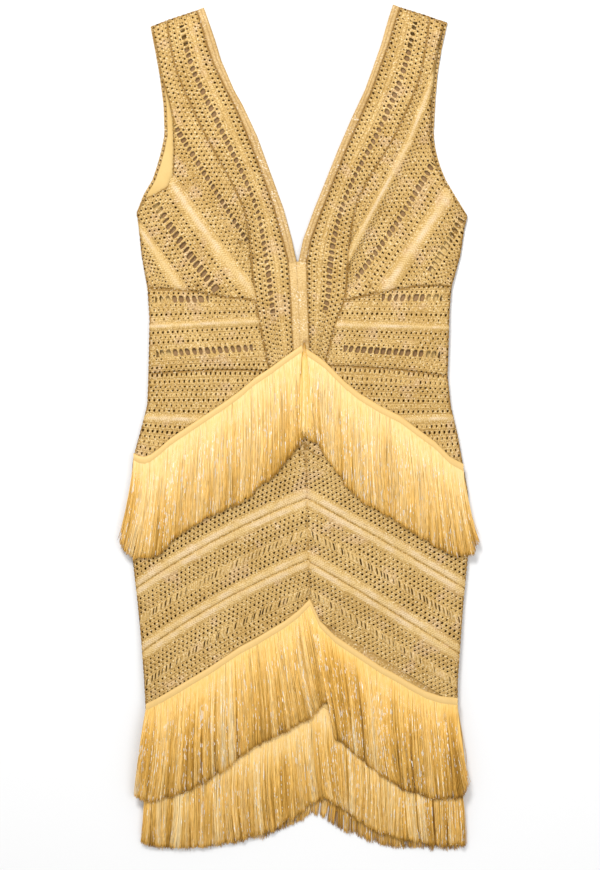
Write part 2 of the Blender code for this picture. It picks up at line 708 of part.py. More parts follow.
def add_front_panels(collection, side):
    seam, bust = BAND_SEAM[side], BUST_COURSES[side]
    neck_band = band_panel(BAND_STRIPES, BAND_EDGE[side], seam)
    add_front(collection, f"front_neck_binding_{side}", binding_panel(side), SATIN)
    add_front(collection, f"front_neck_band_{side}", neck_band)
    bust_seam = part_of(seam, seam[0], bust[0].end)
    bust_panel = Panel(bust, bust_seam, width=NARROW_COLUMN)
    add_front(collection, f"front_bust_{side}", bust_panel)
    add_front(collection, f"front_midriff_{side}", Panel(MIDRIFF_COURSES[side], None, WAIST[side]))
    add_front(collection, f"front_hip_yoke_{side}", Panel(YOKE_COURSES[side], WAIST[side]))
    skirt = Panel(SKIRT_COURSES[side], TIER_1[side], HEM[side])
    add_front(collection, f"front_skirt_{side}", skirt)


def plain_rows(rows, outer, inner):
    return [Course(at_height(outer, a), at_height(inner, b)) for a, b in rows]


def outer_curve(armhole, side):
    return list(armhole[side]) + list(SIDE[side][1:])


def inner_curve(side):
    """From the shoulder down the V, then down the middle."""
    return above_v(side) + list(CENTRE)


def lowered(curve):
    """A curve of the front's end, let down towards the middle as the back's is."""
    share = run(curve) / run(curve)[-1]
    drop = BACK_DROP * ease(2.0 * share - 1.0)
    return [(x, y - d) for (x, y), d in zip(curve, drop)]


def add_back(collection, side):
    outer, inner = outer_curve(BACK_ARMHOLE, side), inner_curve(side)
    sewn, hem = TIER_1[side], lowered(HEM[side])
    bodice = [Course(outer[0], inner[0])] + plain_rows(BODICE_ROWS, outer, inner)
    bodice.append(Course(sewn[0], sewn[-1], foot=1))
    skirt = [Course(sewn[0], sewn[-1], top=1)] + plain_rows(SKIRT_ROWS, outer, inner)
    skirt.append(Course(hem[0], hem[-1], foot=1))
    pieces = (
        ("back_neck_binding", binding_panel(side), SATIN),
        ("back_bodice", Panel(bodice, None, sewn, BACK_COLUMNS), CROCHET),
        ("back_skirt", Panel(skirt, sewn, hem, BACK_COLUMNS), CROCHET),
    )
    for name, panel, colour in pieces:
        points = drawn_in(panel.points, panel.faces, SEAM_GAP / 2)
        under = ground(points)
        over = under + BACK_WALL
        add_solid(collection, f"{name}_{side}", colour, points, panel.faces, under, over)


# A lining: its name, the armhole it ends at, its height, its distance from the side seam
Lining = namedtuple("Lining", "name armhole level from_side colour")
LININGS = (
    Lining("back_lining", BACK_ARMHOLE, BACK_LINING, BACK_LINING_FROM_SIDE, SATIN),
    Lining("front_lining", ARMHOLE, FRONT_LINING, FRONT_LINING_FROM_SIDE, TAUPE),
)


def add_lining(collection, side, lining):
    outer, inner = outer_curve(lining.armhole, side), inner_curve(side)
    rows = []
    for course in plain_rows(BODICE_ROWS[1:] + SKIRT_ROWS, outer, inner):
        start, end = np.asarray(course.start), np.asarray(course.end)
        line = start + (end - start) * np.linspace(0, 1, 400)[:, None]
        far = np.hypot(*(line - start).T)
        clear = (far > LINING_FROM_EDGE) & (from_seams(line) >= lining.from_side)
        last = end + (start - end) * LINING_FROM_EDGE / far[-1]
        rows.append(Course(tuple(line[int(np.argmax(clear))]), tuple(last)))
    panel = Panel(rows, plain_columns=LINING_COLUMNS)
    under = ground(panel.points) + lining.level
    over = under + LINING_WALL
    name = f"{lining.name}_{side}"
    add_solid(collection, name, lining.colour, panel.points, panel.faces, under, over)


def below(curve, points):
    """How far each point lies below a curve of both sides."""
    whole = list(curve["left"]) + list(curve["right"])
    return height_at(whole, points[:, 0]) - points[:, 1]


def over_front(points):
    return front_under(points) + FRONT_WALL + RIB + FRINGE_GAP


def front_tier_3(points):
    """From over the skirt's end down onto the back's fringe."""
    depth = below(TIER_3, points)
    sewn = points + np.column_stack([0 * depth, np.maximum(depth, 0.0)])
    high = front_under(sewn) + FRONT_WALL + LAYER_GAP + HEM_CLEARANCE
    low = FRINGE_FLOOR + LOCK_THICK + LAYER_GAP
    return high + (low - high) * np.clip((depth - CLIMBED) / HEM_FALL, 0.0, 1.0)


def front_tier_2(points):
    """On the skirt, then up over the third trim and down with it."""
    climb = np.clip((below(TIER_3, points) - CLIMBED) / TIER_CLIMB + 1.0, 0.0, 1.0)
    return over_front(points) * (1 - climb) + (front_tier_3(points) + TIER_STEP) * climb


def on_surface(points):
    return np.full(len(points), FRINGE_FLOOR)


def back_tier_3(points):
    """On the second trim, then down past its ends."""
    past = np.clip((below(TIPS_2, points) - BACK_FALL_FROM) / BACK_FALL, 0.0, 1.0)
    return FRINGE_FLOOR + TIER_STEP * (1.0 - past)


# sewn and tips: the curves that the locks hang from and end at. level: their height.
# middle, left, right: how far sideways the ends stand off the roots there.
# breaks: where the locks bend, as a curve and how far below it.
Trim = namedtuple("Trim", "name sewn tips level locks middle left right breaks")
BACK_TIER_3 = {side: lowered(TIER_3[side]) for side in TIER_3}
CLIMBED = -TAPE_HALF - TIER_AHEAD
CLIMB_BREAKS = ((TIER_3, CLIMBED - TIER_CLIMB), (TIER_3, CLIMBED))
FALL_BREAKS = ((TIPS_2, BACK_FALL_FROM), (TIPS_2, BACK_FALL_FROM + BACK_FALL))
TRIMS = (
    Trim("front_fringe_1", TIER_1, TIPS_1, over_front, FRONT_LOCKS, 1, -16, 16, ()),
    Trim("front_fringe_2", TIER_2, TIPS_2, front_tier_2, FRONT_LOCKS, 20, -12, 12, CLIMB_BREAKS),
    Trim("front_fringe_3", TIER_3, TIPS_3, front_tier_3, FRONT_LOCKS, 8, -6, 7, ()),
    Trim("back_fringe_1", TIER_1, TIPS_1, on_surface, BACK_LOCKS, 1, -14, 14, ()),
    Trim("back_fringe_2", TIER_2, TIPS_2, on_surface, BACK_LOCKS, 20, -10, 10, ()),
    Trim("back_fringe_3", BACK_TIER_3, BACK_TIPS_3, back_tier_3, BACK_LOCKS, -6, -6, 7, FALL_BREAKS),
)


def lock_shares(trim, root, tip):
    """Where a lock is divided, from its root to its tip."""
    share = np.linspace(0.0, 1.0, 50)
    line = root + (tip - root) * share[:, None]
    found = [float(np.interp(depth, below(curve, line), share)) for curve, depth in trim.breaks]
    return [0.0] + [s for s in found if 0.07 < s < 0.93] + [1.0]


def add_trim(collection, side, trim):
    """A tape with locks that hang from its lower side, as one body."""
    sewn = np.asarray(trim.sewn[side])
    middle, outer = sewn[-1][0], sewn[0][0]
    marks = np.linspace(0.0, 1.0, trim.locks + 1)
    xs = middle + (outer - middle) * marks
    way = np.sign(outer - middle)
    spread = trim.middle * (1 - marks) ** 2 + (trim.left if side == "left" else trim.right) * marks**2
    points, thick, faces = [], [], []

    def put(x, y, thickness):
        points.append((x, y))
        thick.append(thickness)
        return len(points) - 1

    def tape_point(x, up):
        return put(x, float(height_at(sewn, x)) + up, TAPE_THICK if up > 0 else LOCK_THICK)

    roots = []
    for k in range(trim.locks):
        near, far = xs[k] + way * LOCK_GAP / 2, xs[k + 1] - way * LOCK_GAP / 2
        root = [tape_point(x, -TAPE_HALF) for x in (near, far)]
        roots.append(root)
        ragged = RAGGED[k % len(RAGGED)]
        narrow = TIP_NARROWING * abs(far - near) / 2 * way
        ends = np.array([near + spread[k] + narrow, far + spread[k + 1] - narrow])
        tips = np.column_stack([ends, height_at(trim.tips[side], ends) + ragged])
        tops = np.array([points[i] for i in root])
        above = root
        for share in lock_shares(trim, tops.mean(axis=0), tips.mean(axis=0))[1:]:
            at = tops + (tips - tops) * share
            thickness = LOCK_THICK + (TIP_THICK - LOCK_THICK) * share
            under = [put(*at[0], thickness), put(*at[1], thickness)]
            faces.append([above[1], above[0], under[0], under[1]])
            above = under
    for k in range(0, trim.locks, 2):
        pair = roots[k : k + 2]
        if k == 0:
            before = tape_point(xs[0] + way * SEAM_GAP / 2, TAPE_HALF)
        last = k + 2 >= trim.locks
        after = tape_point(xs[min(k + 2, trim.locks)], TAPE_HALF)
        lower = [i for root in pair for i in root] + ([] if last else [roots[k + 2][0]])
        faces.append([before] + lower + [after])
        before = after
    points = np.array(points)
    x, y = points[faces[0]].T
    if np.dot(x, np.roll(y, -1)) < np.dot(y, np.roll(x, -1)):
        faces = [face[::-1] for face in faces]
    under = trim.level(points)
    name = f"{trim.name}_{side}"
    add_solid(collection, name, FRINGE, points, faces, under, under + np.array(thick))


def main():
    for obj in list(bpy.data.objects):
        bpy.data.objects.remove(obj)
    dress = bpy.data.collections.new("crochet_fringe_dress")
    bpy.context.scene.collection.children.link(dress)
    add_front(dress, "front_centre_insert", insert_panel(), SATIN)
    for side in ("left", "right"):
        add_front_panels(dress, side)
        add_back(dress, side)
        for lining in LININGS:
            add_lining(dress, side, lining)
        for trim in TRIMS:
            add_trim(dress, side, trim)


main()
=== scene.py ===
"""Looks of the crochet mini dress with three tiers of fringe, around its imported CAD.

The dress lies flat on its back: x runs across it, y up it from hem to shoulder and z up from
the floor. Sizes are in mm until a mesh is made. Left and right are as seen from in front.
"""

from collections import namedtuple

import bpy
import numpy as np
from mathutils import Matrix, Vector


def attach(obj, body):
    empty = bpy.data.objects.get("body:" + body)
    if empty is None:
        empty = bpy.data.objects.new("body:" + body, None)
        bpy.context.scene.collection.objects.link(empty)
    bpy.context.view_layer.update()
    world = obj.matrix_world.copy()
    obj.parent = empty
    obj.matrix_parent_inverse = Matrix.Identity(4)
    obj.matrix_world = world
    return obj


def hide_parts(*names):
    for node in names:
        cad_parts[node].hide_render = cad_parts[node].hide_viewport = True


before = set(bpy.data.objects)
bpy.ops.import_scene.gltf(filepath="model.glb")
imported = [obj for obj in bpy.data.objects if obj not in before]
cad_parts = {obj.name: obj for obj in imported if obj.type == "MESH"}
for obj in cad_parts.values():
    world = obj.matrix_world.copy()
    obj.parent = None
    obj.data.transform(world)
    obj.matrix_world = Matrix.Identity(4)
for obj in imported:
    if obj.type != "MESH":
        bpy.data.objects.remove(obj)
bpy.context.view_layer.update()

MM = 0.001

# Cloth, from the floor up
BACK_WALL = 2.0
LINING_WALL = 1.0
FRONT_WALL = 2.0
LAYER_GAP = 0.3
RIB = 0.7
BACK_LINING = BACK_WALL + LAYER_GAP
FRONT_LINING = BACK_LINING + LINING_WALL + LAYER_GAP
FRONT = FRONT_LINING + LINING_WALL + LAYER_GAP
BACK_RELIEF = 0.35

# Towards the side and shoulder seams the front comes down onto the back
ROLL_WIDTH = 16.0
LINING_FROM_EDGE = 3.0

# The back lies on its own fringe: below which heights it is lifted, and over what length
FRINGE_LIFT = 2.8
LIFTS = ((193.8, 100.0), (-189.5, 90.0))

# Lengths of a stitch along a row: with eyelets, on the back, crossed, plain and in a stripe. Then
# the depth of an eyelet, the height of the posts between them and the width of a back row.
PITCH = 5.2
BACK_PITCH = 12.0
CROSS_PITCH = 4.8
PLAIN_PITCH = 9.0
PALE_PITCH = 3.0
EYELET_DEPTH = 1.5
POST = 0.1
BACK_ROW = 10.0

# The ladder stitch: the share of a step that is open, and how a bar varies, leans and flares
OPEN_SHARE = 0.64
LADDER_SLANT = 1.6
LADDER_FLARE = 1.0
FLARE_POWER = 2.4
BAR_SHIFT = 0.35
BAR_WIDTHS = (0.6, 1.2)
BAR_LEANS = (0.5, 1.4)
BAR_REACH = 0.52

# The edge of a crocheted piece rolls down, with scallops, and painted shade darkens the cloth along
# it and along the seams
EDGE_DROP = 1.3
EDGE_ROLL = 1.7
EDGE_FLAT = 0.7
EDGE_SCALLOP = 0.6
ROLLED_EDGE_SHADE = 0.5
SEAM_SHADE = 0.22
SEAM_REACH = 5.0
CENTRE_SHARE = 0.35
CENTRE_REACH = 4.0
RIM_STEP = 3.0
RIM_TONE = -0.2

# Small unevenness of every point, flat and in height
FLAT_JITTER = 0.07
RELIEF_JITTER = 0.05

# How far a band is carried beyond its guides, the points that it is measured at and how many of
# them its direction is taken over
EXTENSION = 80.0
SAMPLES = 500
SMOOTHED = 12
# Points of a curve where it is searched, where it is copied, and of a bowed guide
SEARCHED = 2000
COPIED = 60
BOWED = 15

# Fringe: its tape and locks, then how the tiers climb over each other and fall past the hem
TAPE_HALF = 4.3
LOCK_THICK = 2.0
FRINGE_GAP = 0.5
TIER_STEP = LOCK_THICK + 0.6
FRINGE_FLOOR = 0.4
HEM_CLEARANCE = 2.0
HEM_FALL = 120.0
TIER_CLIMB = 24.0
TIER_AHEAD = 8.0
CLIMBED = -TAPE_HALF - TIER_AHEAD
BACK_FALL_FROM = 6.0
BACK_FALL = 25.0
# The back's end is lower in the middle, and the third trim is sewn on above the hem
BACK_DROP = 10.0
TRIM_ABOVE_HEM = 6.4

# Where the V ends
V_FOOT = 173.5

# Curves, as points from the top of the dress down or from its sides inward
NECK_EDGE = {
    "left": [
        (-100.9, 446.8), (-89.1, 412.6), (-82.7, 391.3), (-68.9, 359.2), (-59.3, 342.2),
        (-44.3, 310.1), (-27.2, 263.2), (-15.5, 231.1), (-6.9, 199.1), (-1.1, 171.3),
    ],
    "right": [
        (100.9, 450.0), (95.6, 434.0), (88.1, 407.3), (81.7, 389.1), (71.0, 359.2),
        (56.0, 327.2), (42.2, 295.2), (29.4, 263.2), (16.5, 231.1), (4.8, 199.1), (-1.1, 171.3),
    ],
}
BAND_EDGE = {
    "left": [
        (-108.4, 443.6), (-102.0, 423.3), (-97.7, 407.3), (-91.3, 388.1), (-78.5, 361.4),
        (-65.7, 336.8), (-51.8, 303.7), (-39.0, 269.6), (-26.2, 233.3), (-17.6, 201.2),
        (-10.7, 175.6), (-8.0, 135.1), (-5.3, 76.3),
    ],
    "right": [
        (108.4, 446.8), (102.0, 427.6), (96.6, 408.4), (89.1, 388.1), (77.4, 356.0),
        (63.5, 324.0), (49.6, 292.0), (36.8, 260.0), (24.0, 227.9), (13.3, 199.1), (8.5, 175.6),
        (9.6, 135.1), (11.7, 76.3),
    ],
}
BAND_SEAM = {
    "left": [
        (-140.4, 432.9), (-138.3, 416.9), (-134.0, 393.4), (-128.6, 374.2), (-121.2, 357.1),
        (-112.6, 337.9), (-100.9, 313.3), (-88.1, 289.9), (-76.3, 269.6), (-65.7, 249.3),
        (-57.1, 229.0), (-52.8, 209.8), (-51.2, 188.4), (-49.1, 164.9), (-45.4, 134.0),
        (-41.1, 108.4), (-35.8, 83.8), (-29.9, 58.2),
    ],
    "right": [
        (139.3, 437.2), (138.3, 421.2), (135.1, 402.0), (131.8, 383.8), (126.5, 363.5),
        (118.0, 343.2), (108.4, 321.9), (98.8, 302.7), (87.0, 283.4), (74.2, 263.2),
        (63.5, 241.8), (57.1, 218.3), (53.9, 193.8), (52.3, 169.2), (50.7, 148.9), (48.6, 134.0),
        (41.6, 115.8), (34.7, 92.3), (28.3, 64.6),
    ],
}
UNDER_BUST = {
    "left": [
        (-160.7, 147.9), (-139.3, 146.8), (-115.8, 144.7), (-81.7, 138.3), (-45.4, 134.0),
    ],
    "right": [
        (162.8, 148.9), (145.7, 149.8), (127.6, 149.5), (106.2, 146.3), (84.9, 142.5),
        (48.6, 134.0),
    ],
}
WAIST = {
    "left": [
        (-159.6, 56.0), (-126.5, 58.4), (-89.1, 60.1), (-57.1, 60.3), (-29.9, 58.2),
    ],
    "right": [
        (158.5, 53.9), (140.4, 56.0), (108.4, 60.3), (71.0, 63.0), (49.6, 64.1), (28.3, 64.6),
    ],
}
ARMHOLE = {
    "left": [
        (-156.4, 426.5), (-150.0, 396.6), (-146.8, 375.3), (-141.5, 359.2), (-137.2, 343.2),
        (-134.0, 327.2), (-132.9, 295.2), (-134.0, 268.5), (-139.3, 255.7), (-153.2, 247.1),
        (-163.9, 242.9), (-172.4, 227.9),
    ],
    "right": [
        (155.3, 429.7), (147.9, 402.0), (143.6, 375.3), (141.5, 348.6), (140.4, 311.2),
        (142.5, 295.2), (146.8, 279.2), (154.3, 262.1), (163.9, 246.1), (175.6, 230.1),
        (179.9, 224.7),
    ],
}
BACK_ARMHOLE = {
    "left": [
        (-157.5, 426.5), (-152.1, 398.7), (-147.9, 375.3), (-143.6, 343.2), (-142.5, 311.2),
        (-145.7, 295.2), (-150.0, 279.2), (-155.3, 263.2), (-164.9, 247.1), (-172.4, 227.9),
    ],
    "right": [
        (158.5, 430.8), (152.1, 402.0), (147.9, 375.3), (145.7, 348.6), (143.6, 311.2),
        (145.7, 295.2), (150.0, 279.2), (156.4, 263.2), (166.0, 247.1), (179.9, 224.7),
    ],
}
SIDE = {
    "left": [
        (-172.4, 227.9), (-170.3, 215.1), (-167.1, 183.1), (-163.9, 164.9), (-160.7, 147.9),
        (-158.5, 113.7), (-159.6, 56.0), (-160.7, 23.0), (-167.1, -1.6), (-175.6, -32.6),
        (-178.8, -67.8), (-178.8, -110.5), (-175.6, -147.9), (-171.3, -185.2), (-167.1, -227.9),
        (-163.9, -270.6), (-161.7, -313.3), (-161.7, -348.6),
    ],
    "right": [
        (179.9, 224.7), (176.7, 211.9), (172.4, 183.1), (168.1, 167.1), (162.8, 148.9),
        (160.7, 124.4), (159.6, 87.0), (158.5, 53.9), (161.7, 23.0), (169.2, -9.1),
        (175.6, -44.3), (179.9, -67.8), (182.0, -99.8), (179.9, -142.5), (175.6, -185.2),
        (172.4, -227.9), (169.2, -270.6), (169.2, -313.3), (170.3, -351.8),
    ],
}
CENTRE = [
    (-1.1, 171.3), (1.1, 135.1), (3.2, 82.2), (7.5, -14.4), (9.1, -78.5), (10.7, -142.5),
    (12.3, -187.4), (14.4, -238.6), (19.8, -298.4), (20.8, -313.3),
]

# The lines that the three trims are sewn along, from the sides inward
TIER_1 = {
    "left": [
        (-175.6, -32.6), (-169.5, -35.6), (-163.5, -36.4), (-157.5, -34.2), (-147.9, -27.2),
        (-137.2, -17.6), (-126.5, -10.1), (-110.5, 0.5), (-94.5, 11.2), (-78.5, 21.9),
        (-62.5, 33.6), (-46.4, 47.5), (-29.9, 58.2), (-14.4, 69.9), (-5.3, 76.3), (3.2, 82.2),
    ],
    "right": [
        (175.6, -44.3), (161.3, -36.6), (145.7, -20.8), (129.7, -9.1), (108.4, 6.9),
        (87.0, 17.6), (65.7, 30.4), (49.6, 43.2), (28.3, 64.6), (19.8, 71.0), (11.7, 76.3),
        (3.2, 82.2),
    ],
}
TIER_2 = {
    "left": [
        (-162.3, -299.5), (-142.5, -288.8), (-126.5, -279.2), (-110.5, -269.6), (-94.5, -260.0),
        (-78.5, -249.3), (-62.5, -238.6), (-46.4, -230.1), (-30.4, -220.5), (-14.4, -210.9),
        (-0.5, -200.2), (12.3, -187.4),
    ],
    "right": [
        (169.2, -293.1), (151.1, -290.9), (135.1, -285.6), (119.0, -277.0), (103.0, -267.4),
        (87.0, -258.9), (71.0, -248.2), (55.0, -237.5), (39.0, -226.9), (23.0, -210.9),
        (12.3, -187.4),
    ],
}
TIER_3 = {
    "left": [
        (-161.7, -342.2), (-105.2, -342.2), (-57.1, -337.9), (-25.1, -327.2), (1.6, -310.1),
        (19.8, -292.0),
    ],
    "right": [
        (170.3, -345.4), (121.2, -341.1), (92.3, -333.6), (67.8, -324.0), (49.6, -308.0),
        (19.8, -292.0),
    ],
}
HEM = {
    side: [(x, round(y - TRIM_ABOVE_HEM, 1)) for x, y in TIER_3[side]] for side in ("left", "right")
}
# Where the locks of each trim end
TIPS_1 = {
    "left": [
        (-191.6, -122.2), (-185.2, -134.0), (-176.7, -139.3), (-158.5, -139.3), (-147.9, -135.1),
        (-135.1, -121.2), (-115.8, -107.3), (-105.2, -100.9), (-83.8, -92.3), (-57.1, -76.3),
        (-39.0, -61.4), (-21.9, -48.6), (-6.9, -28.3), (6.9, -12.3),
    ],
    "right": [
        (191.6, -122.2), (187.4, -134.0), (176.7, -138.3), (161.7, -134.0), (145.7, -126.5),
        (129.7, -118.0), (97.7, -96.6), (67.8, -78.5), (49.6, -60.3), (39.0, -46.4),
        (28.3, -30.4), (20.8, -18.7), (6.9, -12.3),
    ],
}
TIPS_2 = {
    "left": [
        (-174.6, -394.5), (-158.5, -398.7), (-137.2, -393.4), (-110.5, -383.8), (-83.8, -366.7),
        (-62.5, -350.7), (-39.0, -335.8), (-14.4, -325.1), (10.1, -311.2), (32.6, -288.8),
    ],
    "right": [
        (181.0, -381.7), (174.6, -393.4), (156.4, -396.6), (135.1, -393.4), (108.4, -382.7),
        (87.0, -368.9), (63.5, -350.7), (55.0, -342.2), (39.0, -330.4), (32.6, -288.8),
    ],
}
TIPS_3 = {
    "left": [
        (-168.1, -441.5), (-158.5, -446.8), (-126.5, -448.9), (-89.1, -445.7), (-57.1, -439.3),
        (-25.1, -428.6), (1.6, -411.6), (28.3, -394.5),
    ],
    "right": [
        (177.8, -446.8), (161.7, -445.7), (140.4, -444.7), (108.4, -439.3), (78.5, -429.7),
        (49.6, -409.4), (28.3, -394.5),
    ],
}
BACK_TIPS_3 = {
    "left": [
        (-168.1, -441.5), (-158.5, -446.8), (-126.5, -448.9), (-89.1, -446.8), (-57.1, -442.5),
        (-25.1, -432.9), (1.6, -421.2), (13.3, -411.6),
    ],
    "right": [
        (177.8, -447.9), (161.7, -448.9), (108.4, -448.9), (76.3, -442.5), (49.6, -431.8),
        (25.1, -416.9), (13.3, -411.6),
    ],
}

# A guide runs along the crochet from a panel's outer side to its inner side. rows: the stitches
# of each row from it to the next guide. bow: how far its middle stands off. ladder: the count of
# its holes, the mm before the first and the mm from one to the next.
# Rows: O m o . eyelets from strong to weak, ( ) the two halves of a smooth stripe, [ ] the same
# beside a groove with painted shade, L ladder stitch, X crossed threads, p plain.
Guide = namedtuple("Guide", "rows path bow ladder", defaults=(0, None))

LEFT_STRAP = [(-158.5, 434.0), (-150.0, 396.6), (-141.5, 359.2)]
RIGHT_STRAP = [(159.5, 438.0), (148.5, 402.0)]
BUST = {
    "left": [
        Guide("L", LEFT_STRAP + [(-134.6, 330.3), (-51.8, 197.0)], 0, (25, 114, 6.0)),
        Guide("ooo", [(-133.6, 316.5), (-51.1, 187.4)]),
        Guide("oom", [(-133.0, 293.1), (-49.5, 169.2)]),
        Guide("(", [(-133.9, 270.7), (-47.6, 152.1)], -2),
        Guide(")", [(-136.6, 262.3), (-46.4, 142.5)], -3),
        Guide("Ooo", [(-141.5, 254.3), (-53.9, 135.0)], -3),
        Guide("L", [(-153.2, 247.1), (-76.3, 137.7)], -2, (18, 9, 6.3)),
        Guide("oO", [(-161.7, 243.8), (-88.6, 139.6)], -2),
        Guide("oO", [(-168.1, 235.4), (-105.1, 142.7)], -1),
        Guide("(", [(-171.5, 222.6), (-115.8, 144.7)]),
        Guide(")", [(-170.0, 211.9), (-125.4, 145.6)]),
        Guide("Oooo", [(-168.9, 201.2), (-135.0, 146.4)]),
        Guide("ooo", [(-165.8, 175.6), (-147.8, 147.2)]),
        Guide("", [(-166.0, 147.0), (-160.0, 139.0)]),
    ],
    "right": [
        Guide("(", RIGHT_STRAP + [(141.7, 377.0), (131.0, 350.7), (112.4, 302.6), (55.0, 194.0)]),
        Guide(")", [(150.5, 390.0), (135.0, 348.6), (116.4, 300.5), (56.0, 187.0)]),
        Guide("Ooo", [(153.0, 382.0), (139.0, 346.5), (120.4, 298.4), (57.0, 180.0)]),
        Guide("oOoo", [(147.0, 328.0), (52.3, 165.0)]),
        Guide("L", [(143.9, 289.9), (50.7, 148.9)], 4, (24, 6, 6.3)),
        Guide("ooo", [(146.8, 279.2), (49.2, 138.3)], 4),
        Guide("(", [(156.7, 258.0), (79.6, 141.3)]),
        Guide(")", [(161.9, 249.4), (91.3, 143.6)]),
        Guide("Oooo", [(167.1, 241.8), (101.9, 145.5)]),
        Guide("L", [(176.5, 233.5), (127.2, 149.0)], 0, (11, 12, 6.0)),
        Guide("O", [(183.5, 229.6), (136.6, 149.2)]),
        Guide("ooo", [(175.1, 201.2), (141.5, 149.7)]),
        Guide("ooo", [(171.8, 180.8), (151.1, 149.5)]),
        Guide("", [(168.0, 148.0), (162.0, 139.0)]),
    ],
}
MIDRIFF = {
    "left": [
        Guide("oo", [(-160.7, 151.0), (-100.0, 148.0)]),
        Guide("L", [(-160.1, 139.3), (-87.0, 139.3)], 0, (9, 5, 7.0)),
        Guide("..O.", [(-159.7, 131.8), (-45.0, 131.9)]),
        Guide("(", [(-158.6, 110.5), (-42.5, 116.8)]),
        Guide(")", [(-158.6, 106.2), (-41.8, 112.5)]),
        Guide("O.m.", [(-158.7, 102.0), (-41.0, 108.1)]),
        Guide("L", [(-159.1, 80.6), (-36.7, 88.1)], 0, (16, 5, 6.8)),
        Guide("..mO", [(-159.3, 73.1), (-35.1, 80.8)]),
        Guide("", [(-159.6, 55.0), (-95.0, 58.5), (-29.9, 57.0)]),
    ],
    "right": [
        Guide("oo", [(162.8, 152.0), (110.0, 150.0)]),
        Guide("L", [(162.1, 140.9), (78.5, 141.0)], 0, (10, 7, 7.0)),
        Guide("..O.", [(161.5, 133.5), (48.2, 132.9)]),
        Guide("(", [(160.3, 109.4), (40.9, 113.4)]),
        Guide(")", [(160.1, 105.2), (39.4, 108.2)]),
        Guide("Om.o", [(160.0, 100.9), (38.1, 104.0)]),
        Guide("L", [(159.4, 79.5), (33.6, 87.4)], 0, (16, 6, 6.8)),
        Guide("..mO", [(159.1, 72.1), (32.0, 80.5)]),
        Guide("", [(158.5, 53.0), (90.0, 60.5), (28.3, 63.5)]),
    ],
}
YOKE = {
    "left": [
        Guide("mo", [(-159.6, 57.5), (-95.0, 60.5), (-29.9, 59.5)]),
        Guide("Om", [(-160.1, 43.5), (-45.0, 46.0)]),
        Guide("oO.O", [(-160.2, 36.0), (-56.1, 38.0)]),
        Guide("(", [(-162.6, 14.5), (-90.8, 12.5)]),
        Guide(")", [(-164.2, 9.7), (-102.1, 7.0)]),
        Guide("oOo", [(-165.6, 4.5), (-112.0, 1.5)]),
        Guide("oooo", [(-170.0, -12.1), (-135.3, -16.2)]),
        Guide("", [(-176.0, -36.0), (-155.0, -42.0)]),
    ],
    "right": [
        Guide("mo", [(158.5, 56.0), (90.0, 63.0), (28.3, 65.5)]),
        Guide("Om", [(160.0, 41.5), (42.0, 47.5)]),
        Guide("oO.O", [(160.5, 34.0), (53.1, 39.5)]),
        Guide("(", [(163.2, 14.0), (95.0, 12.0)]),
        Guide(")", [(165.0, 9.1), (107.5, 7.4)]),
        Guide("oOo", [(166.3, 4.5), (116.0, 2.5)]),
        Guide("oooo", [(170.8, -15.0), (140.0, -17.0)]),
        Guide("", [(175.0, -40.0), (156.0, -44.0)]),
    ],
}
